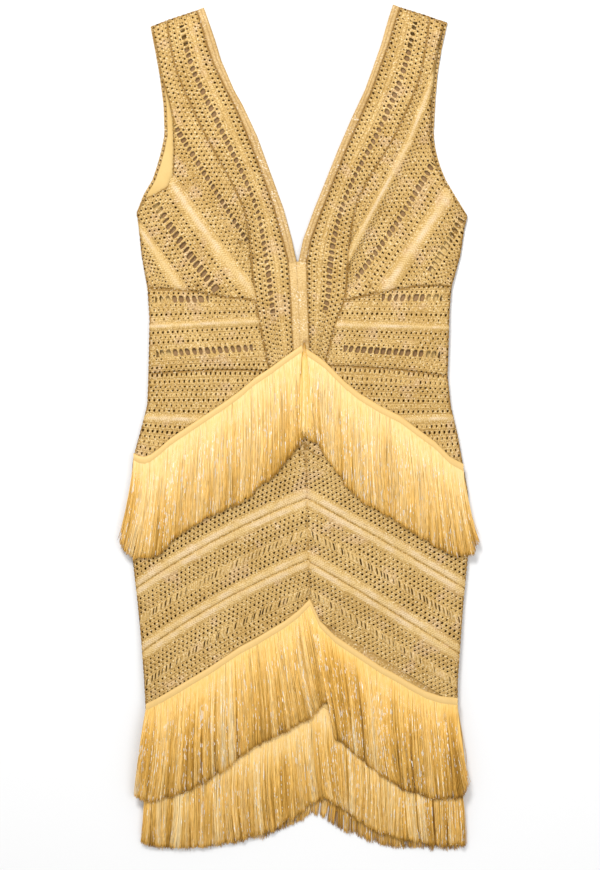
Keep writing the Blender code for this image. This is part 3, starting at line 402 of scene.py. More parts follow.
SKIRT = {
    "left": [
        Guide("pppp", [(-175.6, -27.0), (3.2, 84.0)]),
        Guide("ppppoooo", [(-178.8, -83.8), (6.1, 17.6)], 2),
        Guide("ooOOOO", [(-177.2, -129.7), (8.1, -37.9)], 6),
        Guide("(", [(-174.0, -161.7), (8.8, -64.6)], 6),
        Guide("]", [(-173.4, -167.0), (8.9, -69.9)], 6),
        Guide("[", [(-172.8, -172.3), (9.0, -76.3)], 6),
        Guide(")", [(-172.2, -177.7), (9.2, -81.7)], 6),
        Guide("ooOo", [(-171.6, -183.0), (9.3, -87.0)], 6),
        Guide("X", [(-169.5, -202.0), (9.9, -107.8)], 6),
        Guide("oOO", [(-168.9, -211.5), (10.1, -117.4)], 6),
        Guide("(", [(-167.0, -229.0), (10.4, -130.8)], 6),
        Guide("]", [(-166.6, -234.3), (10.5, -136.1)], 6),
        Guide("[", [(-166.2, -239.7), (10.7, -141.5)], 6),
        Guide(")", [(-165.8, -245.0), (10.9, -146.8)], 6),
        Guide("ooOo", [(-165.4, -250.4), (11.0, -152.1)], 6),
        Guide("X", [(-164.0, -269.0), (11.7, -169.9)], 6),
        Guide("oooo", [(-163.4, -278.6), (11.9, -179.4)], 6),
        Guide("pppp", [(-162.6, -299.5), (12.9, -201.3)], 3),
        Guide("", [(-161.7, -350.0), (-80.0, -347.0), (-25.1, -335.0), (19.8, -300.0)]),
    ],
    "right": [
        Guide("pppp", [(175.6, -38.0), (3.2, 84.0)]),
        Guide("ppppoooo", [(181.0, -83.8), (6.1, 17.6)]),
        Guide("ooOOOO", [(180.5, -129.7), (8.1, -37.9)], -1),
        Guide("(", [(178.0, -161.7), (8.8, -64.6)], -1),
        Guide("]", [(177.4, -167.0), (8.9, -69.9)], -1),
        Guide("[", [(176.9, -172.4), (9.0, -76.3)], -1),
        Guide(")", [(176.4, -177.7), (9.2, -81.7)], -1),
        Guide("ooOo", [(175.8, -183.1), (9.3, -87.0)], -1),
        Guide("X", [(174.3, -203.0), (9.9, -107.8)], -1),
        Guide("oOO", [(173.6, -212.3), (10.1, -117.4)], -1),
        Guide("(", [(172.2, -231.1), (10.4, -130.8)], -1),
        Guide("]", [(171.8, -236.5), (10.6, -137.2)], -1),
        Guide("[", [(171.4, -241.8), (10.7, -143.6)], -1),
        Guide(")", [(171.0, -247.1), (10.9, -148.9)], -1),
        Guide("ooOo", [(170.6, -252.5), (11.1, -154.3)], -1),
        Guide("X", [(169.4, -270.0), (11.8, -171.9)], -1),
        Guide("oooo", [(169.1, -279.6), (12.0, -181.5)], -1),
        Guide("pppp", [(169.2, -297.0), (12.9, -201.3)], -1),
        Guide("", [(170.3, -353.0), (92.3, -342.0), (49.6, -316.0), (19.8, -300.0)]),
    ],
}
# The rows of the bust panel along the neck band's seam, and the height where they end
FIRST_ROWS = {"left": "oooo", "right": "ooo"}
FIRST_ROWS_END = 211.8
# Across the neck band: where its guides lie, as shares of its width, and their rows
BAND_ROWS = ((0.0, "Oopo"), (0.5, "L"), (0.64, "oOo"), (1.0, ""))
BAND_LADDER = (49, 8, 6.75)

# The ends of a back panel's guides, as heights at its outer and inner side
BACK_BODICE = ((440.0, 460.0), (171.3, 171.3), (39.0, 94.5), (-60.0, 60.0))
BACK_SKIRT = ((-20.0, 95.0), (-147.9, -78.5), (-281.3, -257.8), (-365.0, -315.0))

# The front's even unrest: its height, and the lengths across and up of its two waves
UNREST = 0.16
UNREST_WAVES = ((7.3, 19.0), (-23.0, 8.7))

# Soft ridges in the front: two ends, half width and height
FOLDS = (
    (-112.0, 144.0, -96.0, 152.0, 3.5, 0.9), (-104.0, 142.0, -84.0, 156.0, 3.0, -0.7),
    (-92.0, 139.0, -72.0, 153.0, 3.5, 0.9), (-80.0, 138.0, -62.0, 150.0, 3.0, -0.6),
    (8.0, -95.0, 44.0, -112.0, 6.0, 0.7), (9.0, -128.0, 38.0, -136.0, 5.0, -0.6),
    (11.0, -160.0, 50.0, -178.0, 6.0, 0.8), (12.0, -186.0, 40.0, -196.0, 5.0, -0.6),
    (8.0, -92.0, -30.0, -112.0, 6.0, 0.6), (10.0, -150.0, -26.0, -160.0, 6.0, 0.7),
    (-150.0, 98.0, -60.0, 66.0, 12.0, 0.8), (150.0, 96.0, 60.0, 70.0, 12.0, 0.8),
    (-95.0, 310.0, -60.0, 205.0, 9.0, 0.8), (98.0, 300.0, 66.0, 205.0, 9.0, 0.8),
    (-150.0, 215.0, -95.0, 160.0, 12.0, 0.7), (150.0, 210.0, 100.0, 162.0, 12.0, 0.7),
    (-160.0, -150.0, -30.0, -110.0, 14.0, 0.7), (165.0, -215.0, 60.0, -150.0, 14.0, 0.7),
)

# Small hollows in the front with painted shade: centre, half width and how dark
PUCKERS = (
    (8.0, -21.5, 2.6, 1.1), (2.0, -29.0, 3.0, 0.5), (15.0, -28.0, 3.0, 0.5),
    (-6.0, -24.0, 3.0, 0.4), (9.0, -36.0, 2.0, 0.5), (22.0, -33.0, 3.5, 0.4),
    (13.5, -197.0, 3.0, 0.6), (24.0, -204.0, 3.0, 0.5), (36.0, -213.0, 3.0, 0.4),
    (-62.0, 196.0, 4.0, 0.45), (-50.0, 180.0, 4.0, 0.4), (-86.0, 148.0, 4.0, 0.4),
    (-108.0, 150.0, 3.5, 0.45), (76.0, 150.0, 3.0, 0.4), (52.0, 168.0, 3.0, 0.4),
)

# How a row's height and the depth of its eyelets go across it, at these shares of its width, and
# how open a stitch is at these stops along it
Profile = namedtuple("Profile", "across height eyelet pitch stops openness")
STITCH = ((0.0, 0.27, 0.5, 0.73), (0.0, 0.22, 1.0, 0.22))
EYELETS = Profile(
    (-0.03, 0.2, 0.38, 0.62, 0.8, 1.03), (-0.45, 0.2, 0.12, 0.12, 0.2, -0.45),
    (0.0, 0.22, 1.0, 1.0, 0.22, 0.0), PITCH, *STITCH,
)
CROSSED = Profile(
    (-0.02, 0.1, 0.25, 0.5, 0.75, 0.9, 1.02), (-0.4, 0.15, 0.1, 0.3, 0.1, 0.15, -0.4),
    (0.0, 0.2, 0.9, 1.0, 0.9, 0.2, 0.0), CROSS_PITCH, *STITCH,
)
PLAIN = Profile(
    (-0.02, 0.5, 1.02), (-0.4, 0.1, -0.4), (0.0, 0.0, 0.0), PLAIN_PITCH, (0.0, 0.5), (0.0, 0.0)
)
PROFILES = {"X": CROSSED, "p": PLAIN}
STRENGTHS = {"O": 1.4, "m": 1.15, "o": 0.95, ".": 0.7, "X": 0.95, "p": 0.0}
# Painted shade in the valleys between rows
ROW_VALLEY_SHADE = -0.4
ROW_VARIES = 0.1
ROW_TONE_VARIES = 0.05
EYELET_VARIES = 0.2
CROSS_SLANT = -7.0
CROSS_VARIES = 0.7
CROSS_SIZES = (0.4, 1.3)
CROSS_TONE = 0.5

# Across half of a smooth stripe, from its outer side: heights, how much painted shade the groove
# between its halves has, and tones, lower at its outer side as painted shade
STRIPE_ACROSS = (-0.02, 0.16, 0.4, 0.7, 1.0)
STRIPE = ((-0.3, 0.0, 0.3, 0.55, 0.65), (0.0,) * 5, (-0.3, -0.05, 0.15, 0.55, 0.85))
LINED_STRIPE = (
    (-0.7, 0.1, 0.5, 0.6, 0.6), (0.62, 0.05, 0.0, 0.0, 0.0), (-0.3, 0.15, 0.6, 0.7, 0.65),
)
STRIPE_SCALLOP = 0.07
SCALLOPED_FROM = 0.2
LINE_VARIES = (0.55, 1.2)

# A bar of the ladder stitch: its height down its length and across it, its tone, and the painted
# shade where it rounds off
BAR_ALONG = (-0.12, 0.06, 0.18, 0.34, 0.66, 0.82, 0.94, 1.12)
BAR_LIFT = (-0.3, 0.1, 0.1, 0.0, 0.0, 0.1, 0.1, -0.3)
BAR_ROUND = (-0.75, 0.05, 0.2, 0.05, -0.75)
BAR_TONE = 0.15
BAR_SHADE = 0.45

# The row of stitches along the back's armhole: distance inward, height and share of the eyelet,
# and how open it is at each point along a stitch
ARMHOLE_EDGE = (
    (-0.4, -0.4, 0.0), (0.3, 0.45, 0.2), (1.2, 0.5, 1.0), (2.0, 0.4, 0.6), (2.9, -0.1, 0.0),
)
ARMHOLE_STITCH = (0.0, 0.2, 1.0, 0.2)
ARMHOLE_STEP = 1.3
ARMHOLE_RELIEF = 0.5
# How much painted shadow its eyelets get
ARMHOLE_EYELET_SHADE = 1.2
ARMHOLE_TONE = -0.25

# The plain inner side of a back piece: its rows and columns of points, and its tone, dark with
# painted shade where it shows through holes
PLAIN_SIDE = (60, 30)
PLAIN_SIDE_SHADE = -0.5

# Across a binding and the insert: shares of the width, heights over the front and tones, low in the
# grooves and at the edges as painted shade. Where there is no height the strip goes down to the
# layer under it.
BINDING_CUT = 12.0
BINDING_PROFILE = (
    (0.0, None, -0.3), (0.0, -1.2, 0.0), (0.08, -0.35, 0.2), (0.3, 0.15, 0.35), (0.45, -0.25, -0.05),
    (0.6, 0.15, 0.3), (0.8, 0.1, 0.2), (0.93, -0.4, -0.1), (1.0, -1.1, -0.3), (1.0, None, -0.3),
)
INSERT_PROFILE = (
    (0.0, None, -0.3), (0.0, -1.0, 0.1), (0.06, -0.3, 0.7), (0.22, 0.1, 1.0), (0.36, 0.2, 1.0),
    (0.44, -0.7, 0.0), (0.5, 0.1, 0.9), (0.68, 0.35, 1.0), (0.86, 0.1, 0.9), (0.95, -0.4, 0.4),
    (1.0, -1.0, 0.0), (1.0, None, -0.3),
)
STRIP_STEP = 1.25
STRIP_FOOT = 0.1
EDGE_RIPPLE = 0.1
RIPPLE_PITCH = 3.7

# The small lock at the foot of the insert, and the spot of painted shade where it is gathered. Its
# edges and its knot are darker with painted shade: by how much, and over what share of its width and
# length.
BUNCH_ROOT = (6.0, 89.0)
BUNCH_ROOT_WIDTH = 1.6
BUNCH_TIPS = (0.5, 15.0)
BUNCH_END = -1.0
BUNCH_SAG = 3.0
BUNCH_STRANDS = 90
BUNCH_LIFT = 1.6
BUNCH_ROUND = 0.7
BUNCH_SHINY = 0.2
BUNCH_SCATTER = (0.7, 2.5)
BUNCH_SPREAD_POWER = 0.7
BUNCH_TONE = 0.74
BUNCH_VARIES = 0.09
BUNCH_EDGE = (0.5, 0.06)
BUNCH_KNOT = (0.6, 0.1)
SPOT = (7.0, 90.5)
SPOT_HALF = (2.4, 4.0)
SPOT_SHADE = 1.6

# Linings: the armhole that each ends at, its height, its distance from the side seam
LININGS = {
    "back_lining": (BACK_ARMHOLE, BACK_LINING, 13.0),
    "front_lining": (ARMHOLE, FRONT_LINING, 26.0),
}
LINING_HEIGHTS = (402.0, -279.0)
LINING_ROWS = 90
LINING_COLUMNS = 20
LINING_SLACK = 0.3
LINING_RIPPLE = 0.15
LINING_WAVE = (9.0, 31.0)
LINING_RAISE = 0.1
LINING_SEARCHED = 300
LINING_STITCH = 2.0


def ease(t):
    """A smooth step from 0 to 1."""
    t = np.clip(t, 0.0, 1.0)
    return t * t * (3.0 - 2.0 * t)


def run(path):
    """The distance of each point of a curve along it."""
    steps = np.hypot(*np.diff(np.asarray(path), axis=0).T)
    return np.concatenate([[0.0], np.cumsum(steps)])


def along(path, share):
    """The points that lie these shares of the way along a curve."""
    path = np.asarray(path)
    at = run(path)
    return np.column_stack([np.interp(np.asarray(share) * at[-1], at, path[:, i]) for i in (0, 1)])


def at_height(path, y):
    """The point of a falling curve at this height."""
    path = np.asarray(path)[::-1]
    return float(np.interp(y, path[:, 1], path[:, 0])), float(y)


def height_at(path, x):
    """The height of a curve at these distances across."""
    path = np.asarray(path)
    path = path[np.argsort(path[:, 0])]
    return np.interp(x, path[:, 0], path[:, 1])


def part_of(path, start, end):
    """The stretch of a curve between the points of it that are nearest to start and end."""
    share = np.linspace(0, 1, SEARCHED)
    fine = along(path, share)
    first, last = [share[np.argmin(np.hypot(*(fine - point).T))] for point in (start, end)]
    return along(path, np.linspace(first, last, COPIED))


def foot_on(path, points):
    """How far along a curve the nearest point to each point lies, how far off, and that point."""
    path = np.asarray(path, float)
    marks = run(path)
    best = np.full(len(points), np.inf)
    station = np.zeros(len(points))
    foot = np.zeros((len(points), 2))
    for a, b, mark in zip(path[:-1], path[1:], marks):
        d = b - a
        t = np.clip(((points - a) @ d) / max(d @ d, 1e-12), 0.0, 1.0)
        place = a + t[:, None] * d
        off = np.hypot(*(points - place).T)
        nearer = off < best
        best[nearer] = off[nearer]
        station[nearer] = mark + (t * np.hypot(*d))[nearer]
        foot[nearer] = place[nearer]
    return station, best, foot


def inside(outline, points):
    """Which points lie inside a closed outline."""
    x, y = points.T
    found = np.zeros(len(points), bool)
    for (ax, ay), (bx, by) in zip(outline, np.roll(outline, -1, axis=0)):
        if ay == by:
            continue
        crosses = (ay > y) != (by > y)
        found ^= crosses & (x < (bx - ax) * (y - ay) / (by - ay) + ax)
    return found


def area_of(outline):
    """The area inside a closed outline."""
    x, y = np.asarray(outline).T
    return abs(np.dot(x, np.roll(y, -1)) - np.dot(y, np.roll(x, -1))) / 2.0


def touching(within):
    """Which faces of a grid have a corner within."""
    return within[:-1, :-1] | within[1:, :-1] | within[:-1, 1:] | within[1:, 1:]


def faces_down(grid):
    """Whether the faces of a grid would face down."""
    a = grid[0, -1] - grid[0, 0]
    b = grid[-1, 0] - grid[0, 0]
    return a[0] * b[1] - a[1] * b[0] < 0


def from_seams(points):
    """How far inward of the side and shoulder seams each point is, and 0 outside them."""
    found = np.full(len(points), np.inf)
    for side in ("left", "right"):
        shoulder = [ARMHOLE[side][0], NECK_EDGE[side][0]]
        found = np.minimum(found, foot_on(SIDE[side], points)[1])
        found = np.minimum(found, foot_on(shoulder, points)[1])
    x, y = points.T
    tops = [np.asarray(SIDE[side])[::-1] for side in ("left", "right")]
    low, high = [np.interp(y, top[:, 1], top[:, 0]) for top in tops]
    outside = (y < SIDE["left"][0][1]) & ((x < low) | (x > high))
    return np.where(outside, 0.0, found)


def ground(points):
    """The height of the back's underside over the floor."""
    y = points[:, 1]
    return sum(FRINGE_LIFT * ease((top - y) / reach) for top, reach in LIFTS)


def folds(points):
    """How far the front's soft ridges and hollows stand off."""
    x, y = points.T
    found = UNREST
    for across, up in UNREST_WAVES:
        found = found * np.sin(x / across + y / up)
    for ax, ay, bx, by, half, height in FOLDS:
        _, off, _ = foot_on([(ax, ay), (bx, by)], points)
        found = found + height * np.exp(-((off / half) ** 2))
    return found


def front_under(points):
    """The height of the front's underside over the floor."""
    rolled = ease(from_seams(points) / ROLL_WIDTH)
    return ground(points) + BACK_LINING + (FRONT - BACK_LINING) * rolled


def front_top(points):
    return front_under(points) + FRONT_WALL + folds(points)


def back_top(points):
    return ground(points) + BACK_WALL


def back_face(points):
    """Where the back's crochet is nearest to the floor, with room for its relief."""
    return ground(points) + BACK_RELIEF


def painted_seam_shade(points, off, rolled):
    """How much painted shade darkens the cloth along its edges and seams, least at the centre one,
    and in puckers.
    """
    painted = ROLLED_EDGE_SHADE * rolled + SEAM_SHADE * (1.0 - ease(off / SEAM_REACH))
    beside = ease(foot_on(CENTRE, points)[1] / CENTRE_REACH)
    painted = painted * (CENTRE_SHARE + (1.0 - CENTRE_SHARE) * beside)
    for x, y, half, dark in PUCKERS:
        painted = painted + dark * np.exp(-(((points - (x, y)) / half) ** 2).sum(axis=1))
    return painted


class Mesh:
    """The points, faces and values per point of one piece.

    deep is how far into an eyelet a point lies, which sets its painted shadow, tone how pale the
    cloth is, lowered by painted shade, shade how pale the fringe is, painted shade included, and
    glint how metallic a strand is, which sets its painted glints. stitch is a place on the map of
    the stitches.
    """

    def __init__(self):
        self.points = []
        self.faces = []
        self.values = {name: [] for name in ("deep", "tone", "shade", "glint")}
        self.stitch = []
        self.count = 0

    def add(self, points, faces, stitch=None, **values):
        points = np.asarray(points, float).reshape(-1, 3)
        faces = np.asarray(faces, int)
        self.points.append(points)
        self.faces += (faces + self.count).tolist()
        for name, held in self.values.items():
            held.append(np.broadcast_to(values.get(name, 0.0), len(points)))
        self.stitch.append(np.zeros((len(points), 2)) if stitch is None else stitch)
        self.count += len(points)

    def add_grid(self, points, keep=None, turned=False, stitch=None, **values):
        """Faces between rows of points. keep says which of them are made."""
        rows, columns = points.shape[:2]
        number = np.arange(rows * columns).reshape(rows, columns)
        corners = [number[:-1, :-1], number[:-1, 1:], number[1:, 1:], number[1:, :-1]]
        if turned:
            corners = corners[::-1]
        faces = np.stack([c.reshape(-1) for c in corners], axis=1)
        if keep is not None:
            faces = faces[keep.reshape(-1)]
        used = np.unique(faces)
        renumber = np.zeros(rows * columns, int)
        renumber[used] = np.arange(len(used))
        flat = {k: np.broadcast_to(v, (rows, columns)).reshape(-1)[used] for k, v in values.items()}
        stitch = None if stitch is None else stitch.reshape(-1, 2)[used]
        self.add(points.reshape(-1, 3)[used], renumber[faces], stitch, **flat)

    def make(self, name, material, node, slot):
        """The piece as an object that stands for a CAD node."""
        mesh = bpy.data.meshes.new(name)
        mesh.from_pydata((np.vstack(self.points) * MM).tolist(), [], self.faces)
        mesh.validate()
        for key, held in self.values.items():
            held = np.concatenate(held).astype(np.float32)
            if held.any():
                mesh.attributes.new(key, "FLOAT", "POINT").data.foreach_set("value", held)
        corner = np.zeros(len(mesh.loops), np.int32)
        mesh.loops.foreach_get("vertex_index", corner)
        stitch = np.vstack(self.stitch)[corner].astype(np.float32)
        mesh.uv_layers.new(name="Stitch").data.foreach_set("uv", stitch.ravel())
        mesh.polygons.foreach_set("use_smooth", np.ones(len(mesh.polygons), bool))
        mesh.materials.append(material)
        piece = bpy.data.objects.new(name, mesh)
        bpy.context.scene.collection.objects.link(piece)
        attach(piece, "root")
        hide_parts(node)
        return piece


def extended(path):
    """A curve carried straight on beyond both its ends."""
    path = np.asarray(path, float)
    ends = []
    for tip, inner in ((path[0], path[1]), (path[-1], path[-2])):
        way = (tip - inner) / np.hypot(*(tip - inner))
        ends.append(tip + way * EXTENSION)
    return np.vstack([ends[:1], path, ends[1:]])


def bowed(guide):
    """A guide's path, with its middle off its chord."""
    path = np.asarray(guide.path, float)
    if not guide.bow:
        return path
    share = np.linspace(0, 1, BOWED)[:, None]
    way = path[-1] - path[0]
    across = np.array([-way[1], way[0]]) / np.hypot(*way)
    return path[0] + way * share + guide.bow * 4.0 * share * (1.0 - share) * across


class Band:
    """The cloth between two guides, measured along its upper guide and square to its middle."""

    def __init__(self, upper, lower):
        upper_line, lower_line = extended(upper), extended(lower)
        share = np.linspace(0, 1, SAMPLES)
        above, below = along(upper_line, share), along(lower_line, share)
        middle = (above + below) / 2.0
        way = np.roll(middle, -SMOOTHED, axis=0) - np.roll(middle, SMOOTHED, axis=0)
        way[:SMOOTHED], way[-SMOOTHED:] = way[SMOOTHED], way[-SMOOTHED - 1]
        way /= np.hypot(*way.T)[:, None]
        across = np.column_stack([-way[:, 1], way[:, 0]])
        across *= np.sign(((below - above) * across).sum())
        station, near, _ = foot_on(upper_line, middle)
        far = foot_on(lower_line, middle)[1]
        station = np.maximum.accumulate(station - EXTENSION) + np.arange(SAMPLES) * 1e-6
        self.station = station
        self.table = np.column_stack([middle, across, near, far])
        self.width = float(np.median(near + far))

    def place(self, station, share):
        """The points at these stations along it and these shares across it."""
        row = [np.interp(station, self.station, column) for column in self.table.T]
        off = -row[4] + (row[4] + row[5]) * share
        return np.stack([row[0] + row[2] * off, row[1] + row[3] * off], axis=-1)


class Panel:
    """A crocheted piece whose rows follow its guides and end at its outline."""

    def __init__(self, outline, surface, seed, outward=1.0):
        self.outline = np.asarray(outline, float)
        self.closed = np.vstack([self.outline, self.outline[:1]])
        self.surface = surface
        self.random = np.random.default_rng(seed)
        self.outward = outward
        self.mesh = Mesh()
        self.row = 0

    def put(self, flat, relief, stitch, **values):
        """Adds a grid of flat points at this relief, cut off at the outline."""
        shape = flat.shape[:2]
        points = flat.reshape(-1, 2)
        points = points + self.random.normal(0, FLAT_JITTER, points.shape)
        within = inside(self.outline, points)
        station, off, foot = foot_on(self.closed, points)
        way = (points - foot) / np.maximum(off, 1e-6)[:, None]
        scallop = EDGE_SCALLOP * np.abs(np.sin(np.pi * station / PITCH))[:, None]
        points = np.where(within[:, None], points, foot + way * scallop)
        off = np.where(within, off, 0.0)
        rolled = 1.0 - ease(off / EDGE_ROLL)
        relief = relief.reshape(-1) * (1.0 - EDGE_FLAT * rolled) - EDGE_DROP * rolled
        relief = relief + self.random.normal(0, RELIEF_JITTER, relief.shape)
        # Painted shade along the edges and seams and in the puckers
        values["tone"] = values["tone"] - painted_seam_shade(points, off, rolled).reshape(shape)
        z = self.surface(points) + self.outward * relief
        keep = touching(within.reshape(shape))
        if keep.any():
            xyz = np.column_stack([points, z]).reshape(*shape, 3)
            turned = faces_down(xyz) == (self.outward > 0)
            self.mesh.add_grid(xyz, keep, turned, stitch, **values)

    def add_row(self, band, first, last, kind, start=None, end=None):
        """One row of stitches between two shares across a band, and two stations along it."""
        low, high = band.station[0], band.station[-1]
        low, high = (low if start is None else start), (high if end is None else end)
        self.row += 1
        if kind in "()[]":
            self.add_stripe(band, first, last, kind, low, high)
            return
        profile = PROFILES.get(kind, EYELETS)
        pitch = profile.pitch if self.outward > 0 else BACK_PITCH
        count = max(2, int(round((high - low) / pitch)))
        stops = np.array(profile.stops)
        u = np.append((np.arange(count)[:, None] + stops).reshape(-1), float(count))
        openness = np.append(np.tile(profile.openness, count), 0.0)
        size = np.repeat(self.random.normal(1.0, EYELET_VARIES, count), len(stops))
        size = np.append(size, 1.0)
        across = np.array(profile.across)[:, None]
        height = np.array(profile.height)[:, None]
        station = low + (u + 0.5 * (self.row % 2)) * (high - low) / count
        slant = 0.0
        if kind == "X":
            slant = CROSS_SLANT * (across - 0.5)
            moved = np.repeat(self.random.normal(0.0, CROSS_VARIES, count), len(stops))
            size = size * self.random.uniform(*CROSS_SIZES, len(size))
            station = station + np.append(moved, 0.0)
        station = station[None, :] + slant + 0.0 * across
        share = first + (last - first) * across + 0.0 * station
        strength = STRENGTHS[kind] * self.random.normal(1.0, ROW_VARIES)
        eyelet = np.array(profile.eyelet)[:, None] * (openness * size)[None, :] * strength
        post = np.cos(2 * np.pi * u)[None, :]
        relief = height + POST * post - EYELET_DEPTH * eyelet
        # Painted shade where a row dips
        tone = np.where(height < 0, ROW_VALLEY_SHADE, 0.0) + 0.0 * eyelet
        tone = tone + self.random.normal(0, ROW_TONE_VARIES)
        if kind == "X":
            tone = tone + CROSS_TONE * np.clip(post, 0.0, 1.0)
        stitch = np.stack([u + 0.0 * share, self.row + across + 0.0 * share], axis=-1)
        self.put(band.place(station, share), relief, stitch, deep=eyelet, tone=tone)

    def add_stripe(self, band, first, last, kind, low, high):
        """Half of a smooth raised stripe. It falls to a groove with painted shade at a [ or ]."""
        across = np.array(STRIPE_ACROSS)
        height, deep, tone = np.array(LINED_STRIPE if kind in "[]" else STRIPE)
        if kind in ")]":
            across, height, deep, tone = 1.0 - across[::-1], height[::-1], deep[::-1], tone[::-1]
        count = int((high - low) / PALE_PITCH)
        station = np.linspace(low, high, count + 1)
        share = first + (last - first) * across[:, None] + 0.0 * station[None, :]
        scallop = STRIPE_SCALLOP * np.where(np.arange(count + 1) % 2, 1.0, -1.0)[None, :]
        relief = height[:, None] + scallop * (height[:, None] > SCALLOPED_FROM)
        u = station / PITCH + 0.0 * share
        stitch = np.stack([u, self.row + across[:, None] + 0.0 * share], axis=-1)
        broken = self.random.uniform(*LINE_VARIES, station.shape)[None, :]
        spread = {"deep": deep[:, None] * broken, "tone": tone[:, None] + 0.0 * share}
        self.put(band.place(station[None, :] + 0.0 * share, share), relief, stitch, **spread)

    def add_ladder(self, band, ladder):
        """Slanted bars with holes between them, and plain rows beyond the last ones."""
        count, skip, step = ladder
        end = skip + step * count
        for k in (0, 1):
            self.add_row(band, k / 2, (k + 1) / 2, "o", end=skip)
            self.add_row(band, k / 2, (k + 1) / 2, "o", start=end - 0.5 * step)
        half = step * (1.0 - OPEN_SHARE) / 2.0
        along_bar = np.array(BAR_ALONG)[:, None]
        lift = np.array(BAR_LIFT)[:, None]
        round_off = np.array(BAR_ROUND)[None, :]
        flare = 1.0 + LADDER_FLARE * np.abs(2.0 * along_bar - 1.0) ** FLARE_POWER
        for j in range(1, count):
            centre = skip + step * j - half + self.random.normal(0, BAR_SHIFT)
            wide = half * self.random.uniform(*BAR_WIDTHS)
            reach = np.minimum(wide * flare, BAR_REACH * step)
            lean = LADDER_SLANT * self.random.uniform(*BAR_LEANS)
            offset = np.linspace(-1.0, 1.0, len(BAR_ROUND))[None, :] * reach
            station = centre + offset + lean * (along_bar - 0.5)
            share = along_bar + 0.0 * station
            stitch = np.stack([station / PITCH, self.row + share], axis=-1)
            tone = BAR_TONE + BAR_SHADE * np.minimum(round_off, 0.0) + 0.0 * share
            self.put(band.place(station, share), lift + round_off, stitch, tone=tone)

    def add_guides(self, paths, rows, ladders):
        """The rows between each two guides."""
        for i, kinds in enumerate(rows):
            if not kinds:
                continue
            band = Band(paths[i], paths[i + 1])
            if kinds == "L":
                self.add_ladder(band, ladders[i])
                continue
            for k, kind in enumerate(kinds):
                self.add_row(band, k / len(kinds), (k + 1) / len(kinds), kind)

    def add_rim(self, under):
        """The cut edge of the cloth, from its rolled upper side down to its underside."""
        line = along(self.closed, np.linspace(0, 1, int(run(self.closed)[-1] / RIM_STEP)))
        top = self.surface(line) - self.outward * EDGE_DROP
        high = np.column_stack([line, top])
        low = np.column_stack([line, under(line)])
        turning = np.dot(line[:-1, 0], line[1:, 1]) - np.dot(line[:-1, 1], line[1:, 0])
        turned = (turning > 0) == (self.outward > 0)
        self.mesh.add_grid(np.stack([high, low]), None, turned, tone=RIM_TONE)


def between(first, second, share):
    """The curve that lies this share of the way from one curve to another."""
    even = np.linspace(0, 1, COPIED)
    a, b = along(first, even), along(second, even)
    return a + (b - a) * share


def above_v(side):
    """The neck band's inner edge down to the point of the V."""
    return [point for point in BAND_EDGE[side] if point[1] > V_FOOT]


def lowered(curve):
    """A curve of the front's end, let down towards the middle as the back's is."""
    share = run(curve) / run(curve)[-1]
    drop = BACK_DROP * ease(2.0 * share - 1.0)
    return [(x, y - d) for (x, y), d in zip(curve, drop)]


def outline_of(*parts):
    return np.vstack([np.asarray(part, float) for part in parts])


def backwards(path):
    return np.asarray(path)[::-1]


def front_outlines(side):
    """The outlines of the front's crocheted pieces."""
    seam, under, waist = BAND_SEAM[side], UNDER_BUST[side], WAIST[side]
    edge, sewn, hem, outer = BAND_EDGE[side], TIER_1[side], HEM[side], SIDE[side]
    corner, low = under[-1], waist[-1]
    return {
        "neck_band": outline_of(edge, part_of(sewn, edge[-1], low), backwards(seam)),
        "bust": outline_of(
            part_of(seam, seam[0], corner), backwards(under),
            part_of(outer, under[0], outer[0]), backwards(ARMHOLE[side]),
        ),
        "midriff": outline_of(
            under, part_of(seam, corner, low), backwards(waist), part_of(outer, waist[0], under[0])
        ),
        "hip_yoke": outline_of(
            waist, part_of(sewn, low, sewn[0]), part_of(outer, sewn[0], waist[0])
        ),
        "skirt": outline_of(
            sewn, part_of(CENTRE, sewn[-1], hem[-1]), backwards(hem), part_of(outer, hem[0], sewn[0])
        ),
    }


Sheet = namedtuple("Sheet", "piece flat area rests_on carried")
SHEETS = []


def declare(piece, width, length, area, *rests_on):
    """Keeps what a sheet was cut to, so that the pieces that it carries can be added later."""
    SHEETS.append(Sheet(piece, (float(width), float(length)), float(area), rests_on, []))


def declare_cut(piece, outline, rests_on):
    """Keeps a sheet's cut as the upright box round it."""
    width, length = np.ptp(np.asarray(outline), axis=0) * MM
    declare(piece, width, length, area_of(outline) * MM * MM, rests_on)


def front_guides(name, side):
    """The guide paths, rows and ladders of one of the front's crocheted pieces."""
    if name == "neck_band":
        paths = [between(BAND_EDGE[side], BAND_SEAM[side], share) for share, _ in BAND_ROWS]
        rows = [kinds for _, kinds in BAND_ROWS]
        return paths, rows, [BAND_LADDER] * len(rows)
    tables = {"bust": BUST, "midriff": MIDRIFF, "hip_yoke": YOKE, "skirt": SKIRT}
    guides = tables[name][side]
    paths = [bowed(guide) for guide in guides]
    rows = [guide.rows for guide in guides]
    ladders = [guide.ladder for guide in guides]
    if name == "bust":
        seam = BAND_SEAM[side]
        paths = [part_of(seam, seam[0], (paths[0][-1][0], FIRST_ROWS_END))] + paths
        rows = [FIRST_ROWS[side]] + rows
        ladders = [None] + ladders
    return paths, rows, ladders


def make_front(side, materials):
    made = {}
    for number, (name, outline) in enumerate(front_outlines(side).items()):
        panel = Panel(outline, front_top, seed=10 * number + (side == "right"))
        panel.add_guides(*front_guides(name, side))
        panel.add_rim(front_under)
        node = f"front_{name}_{side}"
        piece = panel.mesh.make(f"crochet_{node}", materials["crochet"], node, "crochet")
        made[name] = piece
        if name == "neck_band":
            area = area_of(outline) * MM * MM
            length = run(BAND_EDGE[side])[-1] * MM
            declare(piece, area / length, length, area, f"front_lining_{side}")
        else:
            declare_cut(piece, outline, f"front_lining_{side}")
    return made


